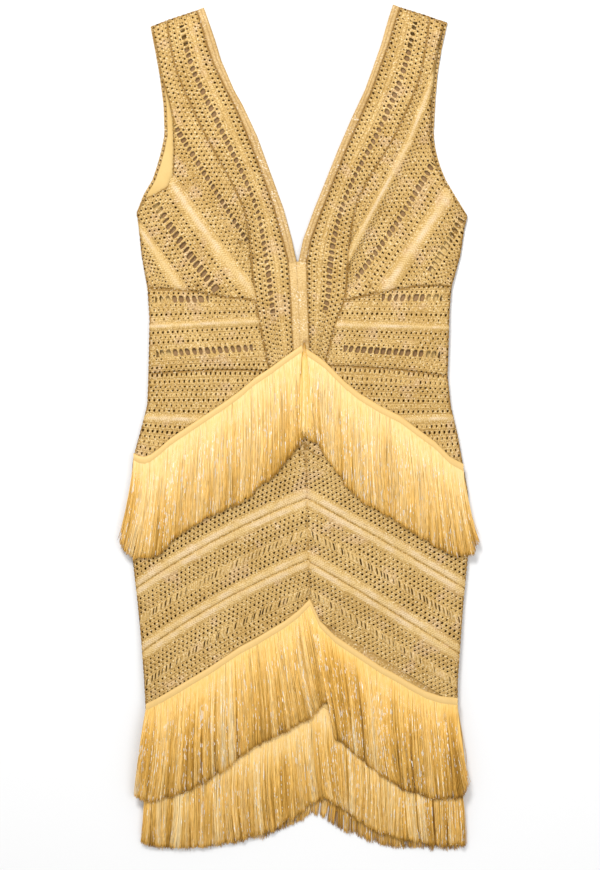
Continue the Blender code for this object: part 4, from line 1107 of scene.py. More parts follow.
def strip(inner, outer, profile, top, under):
    """A grid over a long strip, with its tones and its place on the stitch map."""
    length = run(inner)[-1]
    share = np.linspace(0, 1, int(length / STRIP_STEP) + 1)
    a, b = along(inner, share), along(outer, share)
    ripple = EDGE_RIPPLE * np.cos(2 * np.pi * length * share / RIPPLE_PITCH)
    rows, tones, stitches = [], [], []
    for across, height, tone in profile:
        flat = a + (b - a) * across
        z = under(flat) + STRIP_FOOT if height is None else top(flat) + height + ripple
        rows.append(np.column_stack([flat, z]))
        tones.append(np.full(len(flat), tone))
        stitches.append(np.column_stack([run(flat) / PITCH, 0 * share + 2.0 * across]))
    return np.stack(rows), np.stack(tones), np.stack(stitches)


def make_strip(node, grid, tone, stitch, materials):
    mesh = Mesh()
    mesh.add_grid(grid, None, faces_down(grid), stitch, tone=tone)
    return mesh.make(f"knit_{node}", materials["binding"], node, "binding")


def make_bindings(side, materials):
    inner, outer = NECK_EDGE[side], above_v(side)
    length = run(inner)[-1] * MM
    width = BINDING_CUT * MM
    for layer, top, under in (("front", front_top, front_under), ("back", back_top, ground)):
        made = strip(inner, outer, BINDING_PROFILE, top, under)
        piece = make_strip(f"{layer}_neck_binding_{side}", *made, materials)
        declare(piece, width, length, width * length, f"{layer}_lining_{side}")


def make_insert(materials):
    left, right = [
        [above_v(side)[-1]] + [point for point in BAND_EDGE[side] if point[1] < V_FOOT]
        for side in ("left", "right")
    ]
    grid, tone, stitch = strip(left, right, INSERT_PROFILE, front_top, front_under)
    from_spot = (grid[:, :, :2] - SPOT) / SPOT_HALF
    # Painted shade where the lock is gathered
    tone = tone - SPOT_SHADE * np.exp(-(from_spot**2).sum(axis=2))
    piece = make_strip("front_centre_insert", grid, tone, stitch, materials)
    length = run(left)[-1] * MM
    area = area_of(outline_of(left, backwards(right))) * MM * MM
    declare(piece, area / length, length, area, "front_lining_left")


def make_back(side, materials):
    outer = list(BACK_ARMHOLE[side]) + list(SIDE[side][1:])
    inner = above_v(side) + list(CENTRE)
    sewn, hem = TIER_1[side], lowered(HEM[side])
    top_end = above_v(side)[0]
    outlines = {
        "bodice": outline_of(
            part_of(inner, top_end, sewn[-1]), backwards(sewn), part_of(outer, sewn[0], outer[0])
        ),
        "skirt": outline_of(
            sewn, part_of(CENTRE, sewn[-1], hem[-1]), [hem[-1]], backwards(hem),
            part_of(outer, hem[0], sewn[0])
        ),
    }
    made = {}
    for name, rows in (("bodice", BACK_BODICE), ("skirt", BACK_SKIRT)):
        panel = Panel(outlines[name], back_face, seed=50 + (side == "right"), outward=-1.0)
        paths = [[(at_height(outer, a)[0], a), (at_height(inner, b)[0], b)] for a, b in rows]
        for upper, lower in zip(paths[:-1], paths[1:]):
            band = Band(upper, lower)
            count = max(2, int(band.width / BACK_ROW))
            for k in range(count):
                panel.add_row(band, k / count, (k + 1) / count, "o")
        panel.add_rim(back_top)
        add_plain_side(panel, outer, inner, rows)
        if name == "bodice":
            add_armhole_edge(panel, side)
        node = f"back_{name}_{side}"
        made[name] = panel.mesh.make(f"crochet_{node}", materials["crochet"], node, "crochet")
        declare_cut(made[name], outlines[name], "floor")
    return made


def add_armhole_edge(panel, side):
    """The row of stitches that shows along the back's armhole, beside the lining."""
    edge = BACK_ARMHOLE[side]
    line = along(edge, np.linspace(0, 1, int(run(edge)[-1] / ARMHOLE_STEP)))
    way = np.gradient(line, axis=0)
    way /= np.hypot(*way.T)[:, None]
    inward = np.column_stack([-way[:, 1], way[:, 0]])
    inward *= -np.sign((inward * line).sum())
    far, height, share = np.array(ARMHOLE_EDGE).T[:, :, None]
    flat = line[None, :, :] + inward[None, :, :] * far[:, :, None]
    eyelet = np.array(ARMHOLE_STITCH)[np.arange(len(line)) % len(ARMHOLE_STITCH)]
    high = height - ARMHOLE_RELIEF * share * eyelet
    z = back_top(flat.reshape(-1, 2)).reshape(high.shape) + high
    grid = np.dstack([flat, z])
    # Painted shadow in the eyelets
    deep = ARMHOLE_EYELET_SHADE * share * eyelet
    panel.mesh.add_grid(grid, None, faces_down(grid), deep=deep, tone=ARMHOLE_TONE)


def add_plain_side(panel, outer, inner, rows):
    """The inner side of a back piece, level with the top of its rim."""
    (outer_top, inner_top), (outer_low, inner_low) = rows[0], rows[-1]
    across = np.linspace(-0.1, 1.1, PLAIN_SIDE[1])[:, None]
    lines = []
    for level in np.linspace(0.0, 1.0, PLAIN_SIDE[0]):
        a = np.array(at_height(outer, outer_top + (outer_low - outer_top) * level))
        b = np.array(at_height(inner, inner_top + (inner_low - inner_top) * level))
        lines.append(a + (b - a) * across)
    flat = np.array(lines)
    points = flat.reshape(-1, 2)
    within = inside(panel.outline, points)
    points = np.where(within[:, None], points, foot_on(panel.closed, points)[2])
    grid = np.column_stack([points, back_top(points)]).reshape(*PLAIN_SIDE, 3)
    keep = touching(within.reshape(PLAIN_SIDE))
    # Dark with painted shade
    panel.mesh.add_grid(grid, keep, faces_down(grid), tone=PLAIN_SIDE_SHADE)


def make_linings(side, materials):
    inner = above_v(side) + list(CENTRE)
    shares = np.linspace(0, 1, LINING_COLUMNS)[:, None]
    for name, (armhole, level, from_side) in LININGS.items():
        outer = list(armhole[side]) + list(SIDE[side][1:])
        rows = []
        for y in np.linspace(*LINING_HEIGHTS, LINING_ROWS):
            start, end = [np.asarray(at_height(path, y)) for path in (outer, inner)]
            line = start + (end - start) * np.linspace(0, 1, LINING_SEARCHED)[:, None]
            far = np.hypot(*(line - start).T)
            clear = (far > LINING_FROM_EDGE) & (from_seams(line) >= from_side)
            first = line[int(np.argmax(clear))]
            last = end + (start - end) * LINING_FROM_EDGE / far[-1]
            rows.append(first + (last - first) * shares)
        flat = np.array(rows)
        points = flat.reshape(-1, 2)
        low = (ground(points) + level + LINING_RAISE).reshape(flat.shape[:2])
        ripple = LINING_RIPPLE * np.sin((flat / LINING_WAVE).sum(axis=2))
        upper = np.dstack([flat, low + LINING_WALL - LINING_SLACK + ripple])
        lower = np.dstack([flat, low])
        mesh = Mesh()
        down = faces_down(upper)
        mesh.add_grid(upper, None, down, flat / LINING_STITCH, tone=1.0)
        mesh.add_grid(lower, None, not down, flat / LINING_STITCH, tone=1.0)
        node = f"{name}_{side}"
        piece = mesh.make(f"knit_{node}", materials[name], node, name)
        outline = outline_of(flat[:, 0], flat[-1], backwards(flat[:, -1]), backwards(flat[0]))
        declare_cut(piece, outline, f"back_bodice_{side}")


def below(curve, points):
    """How far each point lies below a curve of both sides."""
    whole = list(curve["left"]) + list(curve["right"])
    return height_at(whole, points[:, 0]) - points[:, 1]


def over_front(points):
    return front_top(points) + RIB + FRINGE_GAP


def front_tier_3(points):
    """From over the skirt's end down onto the back's fringe."""
    depth = below(TIER_3, points)
    sewn = points + np.column_stack([0 * depth, np.maximum(depth, 0.0)])
    high = front_under(sewn) + FRONT_WALL + LAYER_GAP + HEM_CLEARANCE
    low = FRINGE_FLOOR + LOCK_THICK + LAYER_GAP
    return high + (low - high) * np.clip((depth - CLIMBED) / HEM_FALL, 0.0, 1.0)


def front_tier_2(points):
    """On the skirt, then up over the third trim and down with it."""
    climb = np.clip((below(TIER_3, points) - CLIMBED) / TIER_CLIMB + 1.0, 0.0, 1.0)
    return over_front(points) * (1 - climb) + (front_tier_3(points) + TIER_STEP) * climb


def on_surface(points):
    return np.full(len(points), FRINGE_FLOOR)


def back_tier_3(points):
    """On the second trim, then down past its ends."""
    past = np.clip((below(TIPS_2, points) - BACK_FALL_FROM) / BACK_FALL, 0.0, 1.0)
    return FRINGE_FLOOR + TIER_STEP * (1.0 - past)


# sewn and tips: the curves that the strands hang from and end at. level: their height.
# middle, left, right: how far sideways the ends stand off the roots there. pale: their tone.
# streaks: how much the tone differs from lock to lock. fade: how late down a strand that sets in.
Trim = namedtuple(
    "Trim", "name sewn tips level middle left right strands rings pale streaks fade"
)
BACK_TIER_3 = {side: lowered(TIER_3[side]) for side in TIER_3}
TRIMS = (
    Trim("front_fringe_1", TIER_1, TIPS_1, over_front, 1, -16, 16, 2300, 7, 0.07, 1.0, 2.0),
    Trim("front_fringe_2", TIER_2, TIPS_2, front_tier_2, 20, -12, 12, 2200, 7, -0.02, 1.8, 0.9),
    Trim("front_fringe_3", TIER_3, TIPS_3, front_tier_3, 8, -6, 7, 2000, 7, 0.05, 1.8, 0.9),
    Trim("back_fringe_1", TIER_1, TIPS_1, on_surface, 1, -14, 14, 420, 5, 0.0, 1.0, 2.0),
    Trim("back_fringe_2", TIER_2, TIPS_2, on_surface, 20, -10, 10, 420, 5, -0.05, 1.0, 2.0),
    Trim(
        "back_fringe_3", BACK_TIER_3, BACK_TIPS_3, back_tier_3, -6, -6, 7, 800, 5, -0.02, 1.8, 0.9
    ),
)
# How far down a strand its rings lie, close together at its tip
RINGS = {
    5: np.array([[0.0, 0.3, 0.65, 0.95, 1.0]]),
    7: np.array([[0.0, 0.2, 0.42, 0.64, 0.84, 0.965, 1.0]]),
}
# A strand: half its width, how much it narrows, how its width varies, its root under the tape
STRAND_HALF = 0.3
STRAND_NARROWS = 0.45
STRAND_WIDTHS = (0.75, 1.25)
SHINY_WIDTH = 1.3
ROOT_VARIES = 4.5
# Its ends: how far they scatter, the share of short ones and by how much they are shorter
SPREAD_VARIES = 0.9
TIP_VARIES = 1.2
SHORT_SHARE = 0.06
SHORT_BY = (2, 10)
# Its height over the trim's level: at its root, less at its tip, more for the upper strands
ROOT_LIFT = 1.4
TIP_SINKS = 0.6
LAYER_LIFT = 1.3
LAYER_MIDDLE = 0.4
LAYERS_AT_ROOT = 0.15
LAYERED_BY = 0.6
SHINY_LAYER = 1.1
# Its shape: shared bends over a spacing and waves of its own
BEND_SPACING = 16.0
BEND = 2.0
WAVE_SIZES = (0.2, 0.9)
WAVE_TURNS = 7.5
WAVE_LIFT = 0.2
SPREAD_POWER = 1.25
PULL_POWER = 3
# The locks that strands gather into: widths, pull inward, how tones and ends differ, and the painted
# shade in the partings between them
LOCK_WIDTHS = (2.5, 9.0)
LOCK_PULL = 0.28
LOCK_TONE = 0.045
LOCK_END = 1.0
PARTING_SHADE = 0.45
PARTING_HALF = 0.8
# Tones: at the root, how much darker towards the tip, the painted shade on its last ring, then what
# differs from strand to strand, the painted shade of the lower strands under the upper ones, and
# over fine and wide streaks as spacing and size
ROOT_TONE = 0.8
DARKER_DOWN = 0.16
TIP_SHADE = 0.32
TIP_FROM = 0.965
OWN_TONE = 0.055
OWN_AT_ROOT = 0.4
OWN_BY = 0.5
LAYER_SHADE = 0.08
FINE_STREAKS = (1.8, 0.075)
WIDE_STREAKS = (12.0, 0.045)
WAVE_TONE = 0.04
WAVE_TONE_TURNS = 9.0
SHINY_SHARE = 0.055
GLINTS = (0.6, 1.0)
# Hollows in the trims, browner with painted shade: trim, side, middle and half width across, from
# and to down the strands, how dark. Then how that varies from strand to strand and how softly it
# sets in and ends.
HOLLOW_VARIES = (0.4, 1.6)
HOLLOW_SOFT = (0.15, 0.2)
SHADED_HOLLOWS = (
    ("front_fringe_1", "left", -138.0, 9.0, 0.4, 1.0, 0.16),
    ("front_fringe_1", "left", -174.0, 8.0, 0.1, 0.6, 0.14),
    ("front_fringe_1", "left", -8.0, 24.0, 0.8, 1.0, 0.2),
    ("front_fringe_1", "right", 14.0, 12.0, 0.8, 1.0, 0.16),
    ("front_fringe_2", "left", -159.0, 8.0, 0.05, 0.7, 0.2),
    ("front_fringe_2", "left", -112.0, 10.0, 0.2, 0.7, 0.12),
    ("front_fringe_2", "right", 42.0, 20.0, 0.03, 0.55, 0.24),
    ("front_fringe_2", "right", 163.0, 8.0, 0.05, 0.7, 0.2),
    ("front_fringe_2", "right", 100.0, 90.0, 0.1, 1.0, 0.09),
    ("front_fringe_3", "left", -20.0, 14.0, 0.3, 0.8, 0.22),
    ("front_fringe_3", "left", -96.0, 16.0, 0.3, 0.8, 0.14),
    ("front_fringe_3", "right", 42.0, 22.0, 0.3, 0.8, 0.22),
    ("front_fringe_3", "right", 150.0, 14.0, 0.4, 0.8, 0.16),
)


def wander(random, at, spacing, size):
    """A smooth random curve, read at some places."""
    first, last = at.min() - spacing, at.max() + spacing
    knots = np.arange(first, last + spacing, spacing)
    values = random.normal(0, size, len(knots))
    place = (at - first) / spacing
    low = np.clip(np.floor(place).astype(int), 0, len(knots) - 2)
    part = ease(place - low)
    return values[low] * (1 - part) + values[low + 1] * part


def spread_at(trim, side, mark):
    """How far sideways the strands end, at these shares of the way from the middle outward."""
    edge = trim.left if side == "left" else trim.right
    return trim.middle * (1 - mark) ** 2 + edge * mark**2


Locks = namedtuple("Locks", "pull end tone")


def make_locks(x, random):
    """How the strands at these places gather into loose locks."""
    ends = x.min() + np.cumsum(random.uniform(*LOCK_WIDTHS, int(np.ptp(x) / LOCK_WIDTHS[0]) + 2))
    lock = np.searchsorted(ends, x)
    width = np.diff(ends, prepend=x.min())[lock]
    in_lock = 1.0 - (ends[lock] - x) / width
    split = random.uniform(0.0, 1.0, len(ends) + 1) ** 2
    parted = np.where(in_lock > 0.5, split[lock + 1], split[lock])
    pull = LOCK_PULL * width * (0.5 - in_lock) * parted
    tone = random.normal(0, LOCK_TONE, len(ends))[lock]
    end = random.normal(0, LOCK_END, len(ends))[lock]
    from_edge = np.minimum(in_lock, 1 - in_lock) * width
    # Painted shade in the partings between locks
    parting_shade = PARTING_SHADE * parted * np.exp(-((from_edge / PARTING_HALF) ** 2))
    return Locks(pull, end, tone - parting_shade)


def strand_tones(trim, side, x, t, layer, phase, lock_tone, random):
    """The tone of each strand down its length."""
    # Lower strands get painted shade, upper ones are lighter
    own = random.normal(0, OWN_TONE, len(x)) + LAYER_SHADE * (layer - 0.5)
    streak = wander(random, x, *FINE_STREAKS) + wander(random, x, *WIDE_STREAKS) + lock_tone
    down = ROOT_TONE - DARKER_DOWN * t - TIP_SHADE * ease((t - TIP_FROM) / (1.0 - TIP_FROM))
    shown = OWN_AT_ROOT + (1.0 - OWN_AT_ROOT) * ease(t / OWN_BY)
    tone = down + own[:, None] * shown + trim.pale
    tone = tone + trim.streaks * streak[:, None] * t**trim.fade
    tone = tone + WAVE_TONE * np.sin(WAVE_TONE_TURNS * t + phase)
    # Painted shade in the hollows
    for name, held, place, reach, start, end, dark in SHADED_HOLLOWS:
        if (name, held) == (trim.name, side):
            across = np.exp(-(((x - place) / reach) ** 2))
            across = across * random.uniform(*HOLLOW_VARIES, len(x))
            onset, fading = (t - start) / HOLLOW_SOFT[0], (t - end) / HOLLOW_SOFT[1]
            within = ease(onset) * (1.0 - ease(fading))
            tone = tone - dark * across[:, None] * within
    return tone


def add_strands(mesh, trim, side, random):
    """Thin three-sided strands in loose locks, from under the tape to the line of the tips."""
    sewn, tips = np.asarray(trim.sewn[side]), trim.tips[side]
    middle, outer = sewn[-1][0], sewn[0][0]
    count, t = trim.strands, RINGS[trim.rings]
    mark = np.sort(random.uniform(0, 1, count))
    x = middle + (outer - middle) * mark
    root = height_at(sewn, x) - TAPE_HALF + random.uniform(0, ROOT_VARIES, count)
    locks = make_locks(x, random)
    spread = spread_at(trim, side, mark) + random.normal(0, SPREAD_VARIES, count)
    is_short = random.uniform(0, 1, count) < SHORT_SHARE
    short = np.where(is_short, random.uniform(*SHORT_BY, count), 0.0)
    end = height_at(tips, x + spread + locks.pull) + locks.end
    end = end + random.normal(0, TIP_VARIES, count) + short
    shiny = random.uniform(0, 1, count) < SHINY_SHARE
    layer = np.where(shiny, SHINY_LAYER, random.uniform(0, 1, count))
    bend = wander(random, x, BEND_SPACING, BEND)[:, None] * np.sin(np.pi * t)
    phase = random.uniform(0, 2 * np.pi, count)[:, None]
    wave = random.uniform(*WAVE_SIZES, count)[:, None] * np.sin(t * WAVE_TURNS + phase) * t
    px = x[:, None] + spread[:, None] * t**SPREAD_POWER + bend + wave
    px = px + locks.pull[:, None] * t**PULL_POWER
    py = root[:, None] + (end - root)[:, None] * t
    flat = np.stack([px, py], axis=-1)
    apart = LAYERS_AT_ROOT + (1.0 - LAYERS_AT_ROOT) * ease(t / LAYERED_BY)
    lift = ROOT_LIFT - TIP_SINKS * t + LAYER_LIFT * (layer - LAYER_MIDDLE)[:, None] * apart
    z = trim.level(flat.reshape(-1, 2)).reshape(px.shape) + lift + WAVE_LIFT * np.abs(wave)
    wide = random.uniform(*STRAND_WIDTHS, count) * np.where(shiny, SHINY_WIDTH, 1.0)
    half = STRAND_HALF * (1 - STRAND_NARROWS * t**3) * wide[:, None]
    tone = strand_tones(trim, side, x, t, layer, phase, locks.tone, random)
    glint = (shiny * random.uniform(*GLINTS, count))[:, None] * (t > 0.0)
    add_tubes(mesh, np.dstack([flat, z]), half, tone, glint)


def add_bunch(mesh, random):
    """A small lock over the middle of the first trim, hung from the foot of the insert."""
    count, t = BUNCH_STRANDS, RINGS[7]
    mark = np.linspace(0, 1, count)
    root = BUNCH_ROOT[0] + BUNCH_ROOT_WIDTH * (mark - 0.5)
    tip = BUNCH_TIPS[0] + (BUNCH_TIPS[1] - BUNCH_TIPS[0]) * mark
    tip = tip + random.normal(0, BUNCH_SCATTER[0], count)
    end = BUNCH_END - BUNCH_SAG * np.sin(np.pi * mark)
    end = end + random.normal(0, BUNCH_SCATTER[1], count)
    px = root[:, None] + (tip - root)[:, None] * t**BUNCH_SPREAD_POWER
    py = BUNCH_ROOT[1] + (end - BUNCH_ROOT[1])[:, None] * t
    flat = np.stack([px, py], axis=-1).reshape(-1, 2)
    round_top = np.sqrt(np.clip(1.0 - (2.0 * mark - 1.0) ** 2, 0.0, 1.0))[:, None]
    z = over_front(flat).reshape(px.shape) + BUNCH_LIFT + BUNCH_ROUND * round_top
    # Painted shade at the edges of the lock and at its knot
    edge = BUNCH_EDGE[0] * np.exp(-((np.minimum(mark, 1 - mark) / BUNCH_EDGE[1]) ** 2))[:, None]
    knot = BUNCH_KNOT[0] * np.exp(-((t / BUNCH_KNOT[1]) ** 2))
    tone = BUNCH_TONE - edge * (1 - 0.6 * t) - knot
    tone = tone + random.normal(0, BUNCH_VARIES, count)[:, None]
    shiny = random.uniform(0, 1, count) < BUNCH_SHINY
    glint = (shiny * random.uniform(*GLINTS, count))[:, None] + 0.0 * px
    add_tubes(mesh, np.dstack([px, py, z]), np.full(px.shape, STRAND_HALF), tone, glint)


def add_tubes(mesh, centre, half, tone, glint):
    """Three-sided tubes along rows of points."""
    sides = ((-1.0, 0.0, -0.4), (1.0, 0.0, -0.4), (0.0, 0.0, 0.4))
    rings = np.stack([centre + half[:, :, None] * np.array(way) for way in sides], axis=2)
    count, length = half.shape
    number = np.arange(count * length * 3).reshape(count, length, 3)
    faces = []
    for k in range(3):
        a, b = number[:, :, k], number[:, :, (k + 1) % 3]
        faces.append(np.stack([a[:, :-1], b[:, :-1], b[:, 1:], a[:, 1:]], axis=-1).reshape(-1, 4))
    shade, glint = [np.repeat(v[:, :, None], 3, axis=2).reshape(-1) for v in (tone, glint)]
    mesh.add(rings.reshape(-1, 3), np.vstack(faces), None, shade=shade, glint=glint)


# The mat of inner threads: its points down and across, how far under the tape it starts, the share
# of the strands' length that it has, its waves, its height and its tone, darker than the strands as
# painted shade under them
MAT_POINTS = (14, 130)
MAT_UNDER_TAPE = 2.0
MAT_LENGTH = 0.9
MAT_UNEVEN = 0.05
MAT_RIPPLE = 0.18
MAT_LIFT = 0.3
MAT_TONE = 0.72
MAT_DARKER_DOWN = 0.2


def add_mat(mesh, trim, side):
    """The close inner threads that the strands lie on, as one rippled sheet."""
    sewn, tips = np.asarray(trim.sewn[side]), trim.tips[side]
    number = np.arange(MAT_POINTS[1])
    mark = np.linspace(0, 1, MAT_POINTS[1])
    x = sewn[-1][0] + (sewn[0][0] - sewn[-1][0]) * mark
    root = height_at(sewn, x) - TAPE_HALF + MAT_UNDER_TAPE
    spread = spread_at(trim, side, mark)
    end = MAT_LENGTH - MAT_UNEVEN * np.abs(np.sin(number * 1.9))
    t = np.linspace(0, 1, MAT_POINTS[0])[:, None] * end[None, :]
    px = x + spread * t**SPREAD_POWER
    py = root + (height_at(tips, x + spread) - root) * t
    flat = np.dstack([px, py])
    ripple = MAT_RIPPLE * np.sin(number * 2.3)[None, :] * t
    z = trim.level(flat.reshape(-1, 2)).reshape(px.shape) + MAT_LIFT + ripple
    grid = np.dstack([flat, z])
    # Painted shade under the strands
    tone = MAT_TONE - MAT_DARKER_DOWN * t + trim.pale
    mesh.add_grid(grid, None, faces_down(grid), shade=tone)


# Across the tape from its lower fold, as shares of half its width, with heights and tones, lower at
# its folds as painted shade
TAPE_PROFILE = (
    (-1.0, 0.3, 0.5), (-1.0, 1.1, 0.55), (-0.7, 1.7, 0.6), (-0.2, 1.95, 0.63), (0.3, 1.9, 0.62),
    (0.7, 1.5, 0.57), (0.95, 0.8, 0.45), (1.02, 0.0, 0.22),
)
TAPE_POINTS = 90
TAPE_PALE = 0.6


def add_tape(mesh, trim, side):
    """The folded header that the strands hang from."""
    sewn = np.asarray(trim.sewn[side])
    x = np.linspace(sewn[-1][0], sewn[0][0], TAPE_POINTS)
    y = height_at(sewn, x)
    rows, tones = [], []
    for up, high, tone in TAPE_PROFILE:
        flat = np.column_stack([x, y + TAPE_HALF * up])
        rows.append(np.column_stack([flat, trim.level(flat) + high]))
        # Painted shade at the folds of the tape
        tones.append(np.full(len(x), tone + TAPE_PALE * trim.pale))
    grid = np.stack(rows)
    mesh.add_grid(grid, None, faces_down(grid), shade=np.stack(tones), tone=1.0)


def make_fringe(side, materials, sheets):
    for number, trim in enumerate(TRIMS):
        random = np.random.default_rng(100 + 2 * number + (side == "right"))
        mesh = Mesh()
        add_mat(mesh, trim, side)
        add_strands(mesh, trim, side, random)
        add_tape(mesh, trim, side)
        if (trim.name, side) == ("front_fringe_1", "left"):
            add_bunch(mesh, random)
        node = f"{trim.name}_{side}"
        piece = mesh.make(f"strands_{node}", materials["fringe"], node, "fringe")
        layer, tier = trim.name.split("_")[0], trim.name[-1]
        upper = {"front": "hip_yoke", "back": "bodice"}[layer]
        holder = sheets[layer][upper if tier == "1" else "skirt"]
        next(sheet for sheet in SHEETS if sheet.piece == holder).carried.append(piece)


class Shader:
    """A material under construction: each call adds a node and returns its output."""

    def __init__(self, name, roughness):
        self.material = bpy.data.materials.new(name)
        self.material.use_nodes = True
        self.tree = self.material.node_tree
        self.surface = self.tree.nodes["Principled BSDF"]
        self.surface.inputs["Roughness"].default_value = roughness

    def node(self, kind, inputs=(), **settings):
        made = self.tree.nodes.new(kind)
        for name, value in settings.items():
            setattr(made, name, value)
        for key, value in dict(inputs).items():
            self.feed(made.inputs[key], value)
        return made

    def feed(self, socket, value):
        if isinstance(value, bpy.types.NodeSocket):
            self.tree.links.new(value, socket)
        else:
            socket.default_value = value

    def value(self, name):
        return self.node("ShaderNodeAttribute", attribute_name=name).outputs["Fac"]

    def math(self, operation, a, b=0.0, clamp=False):
        made = self.node("ShaderNodeMath", {0: a, 1: b}, operation=operation, use_clamp=clamp)
        return made.outputs[0]

    def times(self, a, b):
        return self.math("MULTIPLY", a, b)

    def rest(self, share):
        """What a share leaves of 1."""
        return self.math("SUBTRACT", 1.0, share)

    def noise(self, scale, detail, stretch=None, seed=None):
        place = self.node("ShaderNodeNewGeometry").outputs["Position"]
        if stretch:
            stretched = {0: place, 1: stretch}
            place = self.node("ShaderNodeVectorMath", stretched, operation="MULTIPLY").outputs[0]
        made = self.node("ShaderNodeTexNoise", {"Vector": place, "Scale": scale, "Detail": detail})
        if seed is not None:
            made.noise_dimensions = "4D"
            self.feed(made.inputs["W"], seed)
        return made.outputs["Fac"]

    def between(self, value, low, high):
        """0 below low, 1 above high, smooth between."""
        span = {"Value": value, "From Min": low, "From Max": high}
        made = self.node("ShaderNodeMapRange", span, interpolation_type="SMOOTHSTEP")
        return made.outputs["Result"]

    def ramp(self, value, stops):
        made = self.node("ShaderNodeValToRGB", {"Fac": value})
        elements = made.color_ramp.elements
        while len(elements) < len(stops):
            elements.new(0.5)
        for element, (place, colour) in zip(elements, stops):
            element.position = place
            element.color = (*colour, 1.0)
        return made.outputs["Color"]

    def mix(self, share, first, second):
        made = self.node("ShaderNodeMix", data_type="RGBA")
        for key, value in (("Factor_Float", share), ("A_Color", first), ("B_Color", second)):
            socket = next(s for s in made.inputs if s.identifier == key)
            self.feed(socket, (*value, 1.0) if isinstance(value, tuple) else value)
        return next(s for s in made.outputs if s.identifier == "Result_Color")

    def bump(self, height, distance, strength):
        relief = {"Height": height, "Distance": distance, "Strength": strength}
        made = self.node("ShaderNodeBump", relief)
        self.tree.links.new(made.outputs["Normal"], self.surface.inputs["Normal"])

    def yarn(self, strands, slope):
        """Height of slanting yarns that meet in the middle of each row, from the stitch map."""
        place = self.node("ShaderNodeUVMap", uv_map="Stitch").outputs["UV"]
        split = self.node("ShaderNodeSeparateXYZ", {0: place})
        across = self.math("FRACT", split.outputs[1])
        fold = self.math("ABSOLUTE", self.math("SUBTRACT", across, 0.5))
        turn = self.math("ADD", self.times(split.outputs[0], strands), self.times(fold, slope))
        wave = self.math("SINE", self.times(turn, 2 * np.pi))
        return self.math("ADD", self.times(wave, 0.5), 0.5)


# Colours in linear light. The crochet: its gold, the pinker patches in it, its pale stripes and
# their painted sheen, the painted shade of its valleys, edges, seams and puckers and of the gaps
# between yarns, its dark specks, its specks of painted highlight and the painted shadow in its
# eyelets.
GOLD = ((0.3, (0.62, 0.39, 0.12)), (0.7, (0.78, 0.53, 0.2)))
BLUSH = (0.80, 0.56, 0.36)
STRIPE_GOLD = (0.82, 0.58, 0.25)
STRIPE_SHEEN = (0.90, 0.70, 0.44)
CROCHET_SHADE = (0.30, 0.16, 0.03)
YARN_GAP_SHADE = (0.36, 0.19, 0.04)
DARK_SPECK = (0.34, 0.18, 0.03)
HIGHLIGHT_SPECK = (0.98, 0.84, 0.55)
EYELET_SHADOW = (0.045, 0.02, 0.003)
# The knits, dark and light, how much darker their painted shade is between ribs, in grooves and at
# edges, and the colour of the painted glints of their glitter
BINDING_GOLD = ((0.64, 0.41, 0.135), (0.78, 0.53, 0.21))
JERSEY_GOLD = ((0.74, 0.49, 0.16), (0.82, 0.57, 0.21))
TAUPE = ((0.30, 0.165, 0.06), (0.44, 0.265, 0.115))
KNIT_SHADE = (0.5, 0.4, 0.25)
KNIT_GLINT = (1.0, 0.90, 0.72)
# The fringe from its darkest tone to its palest, its tape and the painted glints of its metallic
# threads
FRINGE = (
    (0.0, (0.26, 0.11, 0.006)), (0.3, (0.55, 0.275, 0.025)), (0.55, (0.81, 0.465, 0.08)),
    (0.75, (0.95, 0.61, 0.175)), (1.0, (0.99, 0.77, 0.40)),
)
TAPE = (0.72, 0.49, 0.19)
GLINT_COLOUR = (1.0, 0.93, 0.82)
# How fine the specks of the yarn are
GRAIN = 620.0


def crochet_material():
    s = Shader("gold_crochet", 0.6)
    base = s.ramp(s.noise(38.0, 3.0), GOLD)
    blush = s.between(s.noise(52.0, 1.0), 0.55, 0.72)
    base = s.mix(s.times(blush, 0.45), base, BLUSH)
    tone = s.value("tone")
    # Pale stripes, with patches of painted sheen
    sheen = s.between(s.noise(60.0, 2.0), 0.35, 0.65)
    base = s.mix(s.between(tone, 0.1, 1.0), base, s.mix(sheen, STRIPE_GOLD, STRIPE_SHEEN))
    # Painted shade where the tone is low: valleys between rows, edges, seams and puckers
    base = s.mix(s.between(tone, -0.05, -0.55), base, CROCHET_SHADE)
    yarn = s.yarn(2.0, 1.6)
    # Painted shade in the gaps between yarns
    base = s.mix(s.times(s.rest(yarn), 0.3), base, YARN_GAP_SHADE)
    grain = s.noise(GRAIN, 2.0)
    rough = s.rest(s.times(s.between(tone, 0.1, 0.6), 0.65))
    specks = s.times(rough, 0.6)
    base = s.mix(s.times(s.between(grain, 0.5, 0.36), specks), base, DARK_SPECK)
    # Specks of painted highlight on the metallic yarn
    base = s.mix(s.times(s.between(grain, 0.57, 0.7), specks), base, HIGHLIGHT_SPECK)
    # Painted shadow in the eyelets and in the groove of a lined stripe
    dark = s.between(s.value("deep"), 0.34, 0.62)
    base = s.mix(dark, base, EYELET_SHADOW)
    s.feed(s.surface.inputs["Base Color"], base)
    s.feed(s.surface.inputs["Specular IOR Level"], s.times(s.rest(dark), 0.3))
    s.bump(s.math("ADD", yarn, s.times(grain, 1.2)), 0.0004, 0.8)
    return s.material


